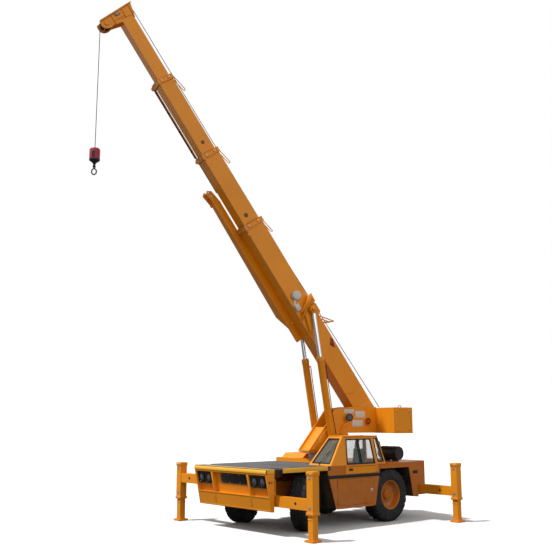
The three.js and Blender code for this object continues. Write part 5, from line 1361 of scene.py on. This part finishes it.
class CRANE_OT_boom(bpy.types.Operator):
    """Makes the collars, the rope guards, the pads and the plates of the boom sections"""
    bl_idname = "crane.boom"
    bl_label = "Boom"

    def execute(self, context):
        bar = sizes().guard
        for (width, height, front), body in zip(SECTIONS, SECTION_BODIES):
            if body == "boom_fourth":
                continue
            top = BOOM_AXIS + height / 2
            low = BOOM_AXIS - height / 2
            half = width / 2
            collar = Piece(f"{body}_collar", BOOM)
            back = front - COLLAR_LENGTH
            reach = COLLAR
            for t0, t1 in ((back - 0.006, back + 0.014), (front - 0.014, front + 0.004)):
                collar.frame_of(rectangle(-half - reach - 0.006, half + reach + 0.006, low - reach - 0.006,
                                          top + reach + 0.006),
                                reach + 0.004, -t1, -t0, "XZ", 0.003)
            pads_at = [(side, BOOM_AXIS + rise * height * 0.28) for side, rise in ((1, -1), (1, 1), (-1, 1))]
            for side in (-1, 1):
                for n in [n for at, n in pads_at if at == side]:
                    collar.block(mirrored(side, half + reach - 0.004, half + reach + 0.012),
                                 (-front + 0.025, -front + 0.085), (n - 0.045, n + 0.045), 0.004)
                collar.prism(boom_outline([(back - 0.06, low + 0.02), (back + 0.002, low + 0.02),
                                           (back + 0.002, low - reach),
                                           (back - 0.02, low - reach)]), *mirrored(side, half, half + 0.012),
                             "YZ", 0.002)
            loop = bar * 5.0
            collar.pipe([boom_point(front - 0.019, top + 0.01, loop), boom_point(front - 0.019, top + 0.076, loop),
                         boom_point(front - 0.452, top + 0.182, loop), boom_point(front - 0.452, top + 0.182, -loop),
                         boom_point(front - 0.019, top + 0.076, -loop), boom_point(front - 0.019, top + 0.01, -loop)],
                        bar, 0.04)
            collar.put(body, "boom_enamel", "yellow_paint")
            screws = Piece(f"{body}_pad_screws", BOOM)
            for side in (-1, 1):
                for n in [n for at, n in pads_at if at == side]:
                    for t in (front - 0.070, front - 0.040):
                        screws.bolt(boom_point(t, n, side * (half + reach + 0.011)), (side, 0, 0), 0.009)
                for t in (front - 0.070, front - 0.040):
                    screws.bolt(boom_point(t, top + reach, side * half * 0.6), (0, 0, 1), 0.010)
                    screws.bolt(boom_point(t, low - reach, side * half * 0.6), (0, 0, -1), 0.010)
            screws.put(body, "zinc", "chrome")
            pads = Piece(f"{body}_wear_pads", BOOM)
            inner_half, inner_height = (size / 2 for size in SECTIONS[SECTION_BODIES.index(body) + 1][:2])
            for side in (-1, 1):
                pads.block(mirrored(side, inner_half + 0.002, half - 0.001), (-front - 0.012, -front + 0.03),
                           (BOOM_AXIS - height * 0.33, BOOM_AXIS + height * 0.33), 0.003)
                for sign in (-1, 1):
                    n0, n1 = sorted((BOOM_AXIS + sign * (inner_height + 0.002),
                                     BOOM_AXIS + sign * (height / 2 - 0.001)))
                    pads.block(mirrored(side, 0.02, inner_half), (-front - 0.012, -front + 0.03), (n0, n1), 0.003)
            pads.put(body, "gasket_rubber", "black_paint")

        # Dark brown discs on the side plates of the second and third sections: painted shade of the holes there.
        for name, index, t, n, flat, radius in (("boom_hole_shade_second", 1, 5.690, 0.104, 0.047, 0.055),
                                                ("boom_hole_shade_third", 2, 7.650, 0.130, 0.040, 0.046)):
            hole_shade = Piece(name, BOOM)
            hole_shade.lathe([(0.0, 0.003), (flat, 0.003), (radius, 0.001), (radius, -0.001), (0.0, -0.001)],
                        at=boom_point(t, n, SECTIONS[index][0] / 2), axis=(1, 0, 0), steps=36, closed=False)
            hole_shade.put(SECTION_BODIES[index], "hole_shade_brown", "red_paint")

        half = SECTIONS[0][0] / 2
        fit = Piece("boom_base_fittings", BOOM)
        low, top = BOOM_AXIS - SECTIONS[0][1] / 2, BOOM_AXIS + SECTIONS[0][1] / 2
        for side in (-1, 1):
            s0, s1 = mirrored(side, half, half + 0.014)
            fit.prism(boom_outline([(2.86, -0.10), (2.99, 0.396), (3.29, 0.386), (3.30, 0.33), (3.10, 0.20)]), s0, s1,
                      "YZ", 0.004)
            outer = side * (LIFT_SIDE + 0.04)
            fit.hull([boom_point(t, n, s) for t, n, s in (
                (2.86, -0.16, side * half), (2.885, -0.16, side * half), (2.99, 0.396, side * half),
                (3.02, 0.396, side * half), (3.25, 0.392, outer), (3.29, 0.386, outer), (3.20, 0.20, outer),
                (3.17, 0.22, outer))], 0.004)
            fit.hull([boom_point(t, n, side * s) for t, n, s in (
                (3.02, -0.10, 0.210), (3.12, 0.40, 0.210), (3.30, 0.38, 0.210), (3.12, 0.40, 0.385),
                (3.17, 0.37, 0.395), (3.34, 0.39, 0.400), (3.345, 0.415, 0.385), (3.10, 0.13, 0.330))], 0.003)
            fit.rod(boom_point(LIFT_EYE[0], LIFT_EYE[1], side * (LIFT_SIDE + 0.090)),
                    boom_point(LIFT_EYE[0], LIFT_EYE[1], side * (LIFT_SIDE + 0.075)), 0.052, 32, 0.004)
        for t0, n0, t1, n1 in ((0.869, -0.104, 0.750, 0.084), (0.750, 0.084, 0.856, 0.332)):
            for side in (-1, 1):
                fit.pipe([boom_point(t0, n0, side * half), boom_point(t1, n1, side * half)], 0.009, 0.01)
        for side in (-1, 1):
            fit.pipe([boom_point(2.796, top - 0.01, side * 0.10), boom_point(2.400, 0.711, side * 0.10),
                      boom_point(2.576, top - 0.01, side * 0.10)], 0.013, 0.03)
        fit.pipe([boom_point(2.412, 0.702, 0.10), boom_point(2.412, 0.702, -0.10)], 0.013, 0.02)
        fit.block((-half + 0.03, half - 0.03), (-2.84, -2.54), (top - 0.002, top + 0.008), 0.003)
        fit.block((half - 0.002, half + 0.060), (-5.31, -5.22), (-0.150, -0.085), 0.006)
        for side in (-1, 1):
            fit.prism(boom_outline([(-0.08, low + 0.16), (0.40, low + 0.01), (0.40, top - 0.01),
                                    (-0.08, top - 0.14)]),
                      *mirrored(side, half - 0.001, half + 0.008), "YZ", 0.003)
        fit.put("boom_base", "boom_enamel", "yellow_paint")
        spots = Piece("boom_anchor_eye", BOOM)
        spots.lathe([(0.0, 0.016), (0.026, 0.016), (0.034, 0.010), (0.034, -0.001), (0.0, -0.001)],
                    at=boom_point(2.035, 0.279, half), axis=(1, 0, 0), steps=28, closed=False)
        spots.prism(boom_outline([(1.90, 0.30), (2.10, 0.37), (2.16, 0.33), (2.02, 0.22)]), half - 0.001,
                    half + 0.006, "YZ", 0.002)
        spots.put("boom_base", "cap_red", "red_paint")

        reel = Piece("cable_reel_detail", BOOM)
        reel.block((half + 0.001, half + 0.080), (-3.30, -3.135), (-0.080, 0.030), 0.010)
        reel.prism(boom_outline([(3.26, -0.06), (3.31, -0.08), (3.50, 0.09), (3.43, 0.14)]), half + 0.001,
                   half + 0.030, "YZ", 0.005)
        reel.lathe([(0.0, 0.0), (0.103, 0.0), (0.108, 0.006), (0.108, 0.016), (0.088, 0.020), (0.088, 0.066),
                    (0.108, 0.070),
                    (0.108, 0.080), (0.103, 0.088), (0.076, 0.092), (0.072, 0.102), (0.030, 0.104), (0.0, 0.104)],
                   at=boom_point(3.470, 0.110, half + 0.012), axis=(1, 0, 0), steps=48, closed=False)
        reel.rod(boom_point(3.19, -0.02, half + 0.078), boom_point(3.19, -0.02, half + 0.098), 0.020, 20, 0.004)
        reel.put("boom_base", "white_paint", "white_paint", "cable_reel")
        return {"FINISHED"}


class CRANE_OT_hoses(bpy.types.Operator):
    """Makes the hose guide along the right side of the boom"""
    bl_idname = "crane.hoses"
    bl_label = "Hose guide"

    def execute(self, context):
        x = -(SECTIONS[0][0] / 2 + COLLAR + 0.039)
        bundle = Piece("hose_guide_bundle", BOOM)
        bundle.rod(boom_point(9.27, -0.03, x), boom_point(7.44, -0.03, x), 0.030, 28, 0.003)
        bundle.rod(boom_point(7.46, -0.03, x + 0.007), boom_point(6.49, -0.03, x + 0.007), 0.0165, 20, 0.002)
        bundle.put("boom_third", "hose_rubber", "black_paint")
        clamps = Piece("hose_guide_clamps", BOOM)
        for t in (9.20, 8.65, 8.15, 7.62):
            clamps.lathe([(0.029, -0.012), (0.0325, -0.012), (0.0325, 0.012), (0.029, 0.012)],
                         at=boom_point(t, -0.03, x), axis=(0, 1, 0), steps=28)
        clamps.put("boom_third", "black_paint", "black_paint")
        for body, front, inner in (("boom_second", SECTIONS[1][2], 0.200), ("boom_third", SECTIONS[2][2], 0.172)):
            bracket = Piece(f"{body}_hose_bracket", BOOM)
            for low, high in ((-0.080, -0.064), (0.006, 0.030)):
                bracket.block((-0.318, -inner), (-front + 0.02, -front + 0.09), (low, high), 0.004)
            bracket.block((-0.326, -0.308), (-front + 0.02, -front + 0.09), (-0.080, 0.030), 0.004)
            bracket.put(body, "boom_enamel", "yellow_paint")
        return {"FINISHED"}


# ---------------------------------------------------------------- lift cylinders

class CRANE_OT_lift(bpy.types.Operator):
    """Makes the two lift cylinders"""
    bl_idname = "crane.lift"
    bl_label = "Lift cylinders"

    def execute(self, context):
        for side, sign in SIDES:
            turn = f"{side}_lift_barrel_turn"
            reach = axis_of(f"{side}_lift_rod_slide")
            place = frame_at(pivot_of(turn), LEFT, reach)
            eye = place.inverted() @ (BOOM @ boom_point(LIFT_EYE[0], LIFT_EYE[1], sign * LIFT_SIDE))
            length = eye.z
            barrel = Piece(f"{side}_lift_barrel_shell", place)
            barrel.lathe([(0.0, 0.075), (0.060, 0.078), (BARREL_RADIUS - 0.004, 0.100), (BARREL_RADIUS, 0.112),
                          (BARREL_RADIUS, 1.890), (BARREL_RADIUS + 0.002, 1.894), (0.091, 1.900), (0.091, 1.952),
                          (0.086, 1.956), (0.086, 1.990), (0.080, 2.000), (ROD_RADIUS + 0.001, 2.000),
                          (ROD_RADIUS + 0.001, 1.90), (0.0, 1.90)], steps=56, closed=False)
            barrel.lathe([(0.0455, -0.049), (0.087, -0.049), (0.089, -0.045), (0.089, 0.045), (0.087, 0.049),
                          (0.0455, 0.049)],
                         axis=(1, 0, 0), steps=44)
            barrel.hull([(x, y, z) for x in (-0.046, 0.046)
                         for y, z in ((-0.076, 0.02), (0.076, 0.02), (-0.062, 0.11), (0.062, 0.11))],
                        0.006)
            for z in (0.20, 1.80):
                barrel.rod((0, 0.06, z), (0, 0.105, z), 0.020, 20, 0.003)
            barrel.put(f"{side}_lift_barrel", "boom_enamel", "yellow_paint", f"{side}_lift_cylinder_barrel")
            bolts = Piece(f"{side}_gland_bolts", place)
            for x, y in ring_points(8, 0.068, 0.2):
                bolts.bolt((x, y, 1.999), (0, 0, 1), 0.007)
            bolts.put(f"{side}_lift_barrel", "zinc", "chrome")
            hose = Piece(f"{side}_lift_hose", place)
            hose.pipe([(0, 0.10, 1.80), (0, 0.125, 1.80), (0, 0.125, 1.70), (0.02, 0.108, 1.50), (0.02, 0.104, 0.50),
                       (0.01, 0.122, 0.30), (0, 0.122, 0.20), (0, 0.10, 0.20)], 0.009, 0.04)
            hose.put(f"{side}_lift_barrel", "hose_rubber", "black_paint")
            rod = Piece(f"{side}_lift_rod_bar", place)
            rod.lathe([(0.0, ROD_END), (ROD_RADIUS - 0.003, ROD_END), (ROD_RADIUS, ROD_END + 0.003),
                       (ROD_RADIUS, length - 0.105), (0.0, length - 0.105)], steps=48, closed=False)
            rod.put(f"{side}_lift_rod", "chrome", "chrome", f"{side}_lift_cylinder_rod")
            head = Piece(f"{side}_lift_rod_eye", place)
            head.lathe([(0.0, length - 0.108), (0.054, length - 0.108), (0.058, length - 0.102),
                        (0.058, length - 0.070), (0.0, length - 0.060)], steps=40, closed=False)
            head.lathe([(0.0405, -0.048), (0.083, -0.048), (0.086, -0.044), (0.086, 0.044), (0.083, 0.048),
                        (0.0405, 0.048)],
                       at=(0, 0, length), axis=(1, 0, 0), steps=44)
            head.put(f"{side}_lift_rod", "boom_enamel", "yellow_paint")
            pin = Piece(f"{side}_lift_pin_caps", place)
            for face in (-1, 1):
                pin.rod((face * 0.092, 0, 0), (face * 0.104, 0, 0), 0.054, 30, 0.003)
            pin.put("turret", "enamel", "yellow_paint")
        return {"FINISHED"}


# ---------------------------------------------------------------- boom head

ROLLER = (11.160, 0.345)
ROLLER_RADIUS = 0.067
JIB_ROOT = (3.19, 0.557)     # where the jib's outer face starts, along and across
JIB_LENGTH = 3.11
JIB_TAPER = 0.145
HEAD_TOP = (11.235, 0.393)
HEAD_CHIN = (11.105, -0.510)


def head_front(out):
    """How far along the boom the raked front of the head is, at a height out from its axis."""
    rise, run = HEAD_TOP[1] - HEAD_CHIN[1], HEAD_TOP[0] - HEAD_CHIN[0]
    return HEAD_TOP[0] - (HEAD_TOP[1] - out) / rise * run


class CRANE_OT_head(bpy.types.Operator):
    """Makes the fittings of the boom head and the stowed jib"""
    bl_idname = "crane.head"
    bl_label = "Boom head"

    def execute(self, context):
        half = SECTIONS[3][0] / 2
        sheave = Piece("head_sheave_wheel", frame_at(pivot_of("head_sheave_turn"), LEFT, UP))
        sheave.lathe([(0.031, -0.025), (0.052, -0.025), (0.054, -0.010), (0.082, -0.009), (0.090, -0.025),
                      (0.120, -0.025),
                      (0.125, -0.021), (0.125, -0.017), (0.109, -0.008), (0.103, 0.0), (0.109, 0.008), (0.125, 0.017),
                      (0.125, 0.021), (0.120, 0.025), (0.090, 0.025), (0.082, 0.009), (0.054, 0.010), (0.052, 0.025),
                      (0.031, 0.025)], axis=(1, 0, 0), steps=60)
        sheave.put("sheave", "black_paint", "black_paint", "head_sheave")
        head = Piece("boom_head_fittings", BOOM)
        for side in (-1, 1):
            out = half + 0.016
            at = boom_point(SHEAVE[0], SHEAVE[1], side * out)
            head.lathe([(0.0, 0.020), (0.052, 0.020), (0.058, 0.014), (0.058, -0.001), (0.0, -0.001)], at=at,
                       axis=(side, 0, 0), steps=36, closed=False)
            rim = [(head_front(n) + 0.002, n) for n in (0.395, -0.512)]
            back = [(head_front(n) - 0.026, n) for n in (-0.512, 0.395)]
            head.prism(boom_outline(rim + back), *mirrored(side, half + 0.014, half + 0.052), "YZ", 0.003)
            for low, high, t in ((-0.212, -0.190, 10.905), (0.100, 0.122, 10.96), (0.296, 0.314, 10.96)):
                head.prism(boom_outline([(t, low), (head_front(low) - 0.02, low), (head_front(high) - 0.02, high),
                                         (t, high)]),
                           *mirrored(side, half + 0.014, half + 0.040), "YZ", 0.003)
            head.prism(boom_outline([(10.965, -0.20), (10.985, -0.20), (11.02, 0.11), (11.0, 0.11)]),
                       *mirrored(side, half + 0.014, half + 0.036), "YZ", 0.003)
            head.prism(boom_outline([(11.110, 0.30), (11.215, 0.33), (11.19, 0.41), (11.135, 0.41)]),
                       *mirrored(side, 0.030, 0.042), "YZ", 0.003)
        head.rod(boom_point(ROLLER[0], ROLLER[1], -0.052), boom_point(ROLLER[0], ROLLER[1], 0.052), 0.016, 20, 0.003)
        for t, n in ((11.080, -0.485), (10.915, -0.470), (10.930, -0.290)):
            head.rod(boom_point(t, n, -half - 0.024), boom_point(t, n, half + 0.024), 0.013, 18, 0.003)
        head.put("boom_fourth", "boom_enamel", "yellow_paint")
        roller = Piece("head_roller", BOOM)
        roller.lathe([(0.016, -0.022), (0.062, -0.022), (ROLLER_RADIUS + 0.004, -0.018),
                      (ROLLER_RADIUS - 0.004, -0.006),
                      (ROLLER_RADIUS - 0.006, 0.0), (ROLLER_RADIUS - 0.004, 0.006), (ROLLER_RADIUS + 0.004, 0.018),
                      (0.062, 0.022), (0.016, 0.022)], at=boom_point(*ROLLER), axis=(1, 0, 0), steps=44)
        roller.put("boom_fourth", "black_paint", "black_paint")
        switch = Piece("head_switch", BOOM)
        switch.block((half + 0.014, half + 0.058), (-11.120, -11.060), (-0.11, -0.01), 0.006)
        switch.rod(boom_point(11.090, -0.01, half + 0.036), boom_point(11.090, 0.03, half + 0.036), 0.010, 14, 0.002)
        switch.put("boom_fourth", "trim_grey", "white_paint")

        jib = Piece("jib_pins", BOOM)
        for t, n in ((6.480, -0.210), (6.590, -0.240)):
            jib.rod(boom_point(t, n, -0.500), boom_point(t, n, -0.215), 0.020, 24, 0.004)
        jib.put("boom_base", "zinc", "chrome")
        frame_piece = Piece("jib_welds", BOOM)
        for t in (3.30, 3.95, 4.60, 5.25, 5.90):
            outer = -(JIB_ROOT[1] - JIB_TAPER * (t - JIB_ROOT[0]) / JIB_LENGTH)
            frame_piece.block((outer - 0.003, outer + 0.004), (-t - 0.012, -t + 0.012), (-0.245, -0.104), 0.001)
        frame_piece.put("boom_base", "boom_enamel", "yellow_paint")
        return {"FINISHED"}


# ---------------------------------------------------------------- hoist rope and hook

ROPE_CORNER = 0.0001
ROPE_SIDES = 12
DRUM_LEAVE = (-1.584, 2.595)
COLLAR_TOUCH = (5.470, 0.448)
PAST_COLLAR = 0.016          # from a section's front end to the rope's next stretch
TURNING_SHARE = 0.12         # of the run from the drum, made as a piece of its own
ROLLER_ROPE = 0.075          # from the roller's centre to the rope's line
ROLLER_TOP = (ROLLER[0], ROLLER[1] + ROLLER_ROPE)
SHEAVE_FRONT = SHEAVE[0] + ROPE_LINE


def rope_at(along):
    """The rope's point between the base collar and the roller of the head."""
    share = (along - COLLAR_TOUCH[0]) / (ROLLER_TOP[0] - COLLAR_TOUCH[0])
    return boom_point(along, COLLAR_TOUCH[1] + share * (ROLLER_TOP[1] - COLLAR_TOUCH[1]))


def stretch(start, end, pieces=24):
    return [start.lerp(end, index / pieces) for index in range(pieces + 1)]


def rope_piece(name, route, place=BOOM):
    piece = Piece(name, place)
    piece.pipe(route, sizes().rope, ROPE_CORNER, ROPE_SIDES)
    return piece


class CRANE_OT_rope(bpy.types.Operator):
    """Makes the hoist rope, which is taut from the winch to the hook"""
    bl_idname = "crane.rope"
    bl_label = "Hoist rope"

    def execute(self, context):
        drum = BOOM.inverted() @ (TURRET @ turret_point(DRUM_LEAVE[0], 0.0, DRUM_LEAVE[1]))
        clear = drum.lerp(boom_point(*COLLAR_TOUCH), TURNING_SHARE)
        along = rope_piece("rope_along_base", stretch(clear, boom_point(*COLLAR_TOUCH)))
        along.put("boom_base", "wire_rope", "wire_rope", smooth=ALL_SMOOTH)
        runs = [("rope_from_drum", "turret", "boom_base", drum, clear)]
        stations = [COLLAR_TOUCH[0], *(front + PAST_COLLAR for _, _, front in SECTIONS[1:3]), ROLLER_TOP[0]]
        for index, name in enumerate(("rope_second", "rope_third", "rope_fourth")):
            runs.append((name, SECTION_BODIES[index], SECTION_BODIES[index + 1], rope_at(stations[index]),
                         rope_at(stations[index + 1])))
        for name, first, last, start, end in runs:
            made = rope_piece(name, stretch(start, end)).object("wire_rope", ALL_SMOOTH)
            BOOM @ start
            BOOM @ end
            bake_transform(made)
        centre = Vector(ROLLER)
        turn = [centre + Vector((math.sin(angle), math.cos(angle))) * ROLLER_ROPE
                for angle in [math.radians(step) for step in range(0, 91, 10)]]
        route = [boom_point(t, n) for t, n in turn]
        route.append(boom_point(SHEAVE_FRONT, SHEAVE[1]))
        over = rope_piece("rope_over_head", route)
        over.put("boom_fourth", "wire_rope", "wire_rope", smooth=ALL_SMOOTH)
        sheave = frame_at(pivot_of("head_sheave_turn"), LEFT, UP)
        front = sheave.inverted().to_3x3() @ (BOOM.to_3x3() @ Vector((0, -1, 0)))
        start = math.atan2(front.z, -front.y)
        angles = [start * (1 - step / 12) for step in range(13)]
        wrap = rope_piece("rope_on_sheave", [(0, -ROPE_LINE * math.cos(angle), ROPE_LINE * math.sin(angle))
                                             for angle in angles], sheave)
        wrap.put("sheave", "wire_rope", "wire_rope", smooth=ALL_SMOOTH)
        plumb = rope_piece("rope_to_hook", stretch(HOIST_TOP, HOIST_LOW, 40), Matrix.Identity(4))
        made = plumb.object("wire_rope", ALL_SMOOTH)
        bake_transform(made)
        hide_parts("hoist_rope")
        return {"FINISHED"}


class CRANE_OT_hook(bpy.types.Operator):
    """Makes the hook block with its swivel and lifting ring"""
    bl_idname = "crane.hook"
    bl_label = "Hook block"

    def execute(self, context):
        shell = Piece("hook_block_shell", HOOK)
        shell.lathe([(0.0, -0.004), (0.020, -0.004), (0.060, -0.010), (0.095, -0.020), (0.112, -0.038),
                     (0.117, -0.060), (0.117, -0.262), (0.0, -0.262)], steps=56, closed=False)
        shell.lathe([(0.012, 0.004), (0.024, 0.004), (0.030, -0.012), (0.012, -0.012)], steps=24)
        shell.put("hook", "hook_red", "red_paint", "hook_block")
        lower = Piece("hook_block_base", HOOK)
        lower.lathe([(0.0, -0.258), (0.118, -0.258), (0.1185, -0.282), (0.112, -0.298), (0.062, -0.332),
                     (0.040, -0.352), (0.030, -0.372), (0.026, -0.400), (0.0, -0.400)], steps=56, closed=False)
        lower.lathe([(0.0, -0.404), (0.024, -0.404), (0.033, -0.414), (0.035, -0.432), (0.031, -0.448),
                     (0.020, -0.456), (0.018, -0.478), (0.0, -0.482)], steps=32, closed=False)
        ring = []
        steps = 40
        for index in range(steps + 1):
            angle = math.tau * index / steps
            ring.append(Vector((0.052 * math.sin(angle), 0.0, -0.545 + 0.066 * math.cos(angle))))
        lower.pipe(ring, 0.0145, 0.0001, 16)
        lower.put("hook", "hook_steel", "black_paint")
        side = Piece("hook_block_cheek", HOOK)
        side.hull([(x, y, z) for x in (-0.034, 0.034)
                   for y, z in ((-0.1215, -0.10), (-0.1215, -0.235), (-0.105, -0.085), (-0.105, -0.25))], 0.004)
        for z in (-0.12, -0.21):
            side.bolt((0, -0.1205, z), (0, -1, 0), 0.010, 0.006)
        side.put("hook", "hook_steel", "black_paint")
        return {"FINISHED"}


# ---------------------------------------------------------------- panel

OPERATORS = (CRANE_OT_stage, CRANE_OT_finishes, CRANE_OT_wheels, CRANE_OT_deck, CRANE_OT_bumper, CRANE_OT_outriggers,
             CRANE_OT_cab, CRANE_OT_seat, CRANE_OT_rear, CRANE_OT_turret, CRANE_OT_winch, CRANE_OT_boom,
             CRANE_OT_hoses, CRANE_OT_lift, CRANE_OT_head, CRANE_OT_rope, CRANE_OT_hook)


class CRANE_PT_panel(bpy.types.Panel):
    """Lists the colours, the sizes and the steps of the crane"""
    bl_idname = "CRANE_PT_panel"
    bl_label = "Carry-deck crane"
    bl_space_type = "VIEW_3D"
    bl_region_type = "UI"
    bl_category = "Crane"

    def draw(self, context):
        for group in (context.scene.crane_colours, context.scene.crane_sizes):
            for name in group.__annotations__:
                self.layout.prop(group, name)
        for operator in OPERATORS:
            self.layout.operator(operator.bl_idname)


CLASSES = (CraneColours, CraneSizes) + OPERATORS + (CRANE_PT_panel,)


def register():
    for made in CLASSES:
        bpy.utils.register_class(made)
    bpy.types.Scene.crane_colours = bpy.props.PointerProperty(type=CraneColours)
    bpy.types.Scene.crane_sizes = bpy.props.PointerProperty(type=CraneSizes)


def unregister():
    del bpy.types.Scene.crane_sizes
    del bpy.types.Scene.crane_colours
    for made in reversed(CLASSES):
        bpy.utils.unregister_class(made)


def main():
    register()
    for operator in OPERATORS:
        group, name = operator.bl_idname.split(".")
        getattr(getattr(bpy.ops, group), name)()


if __name__ == "__main__":
    main()
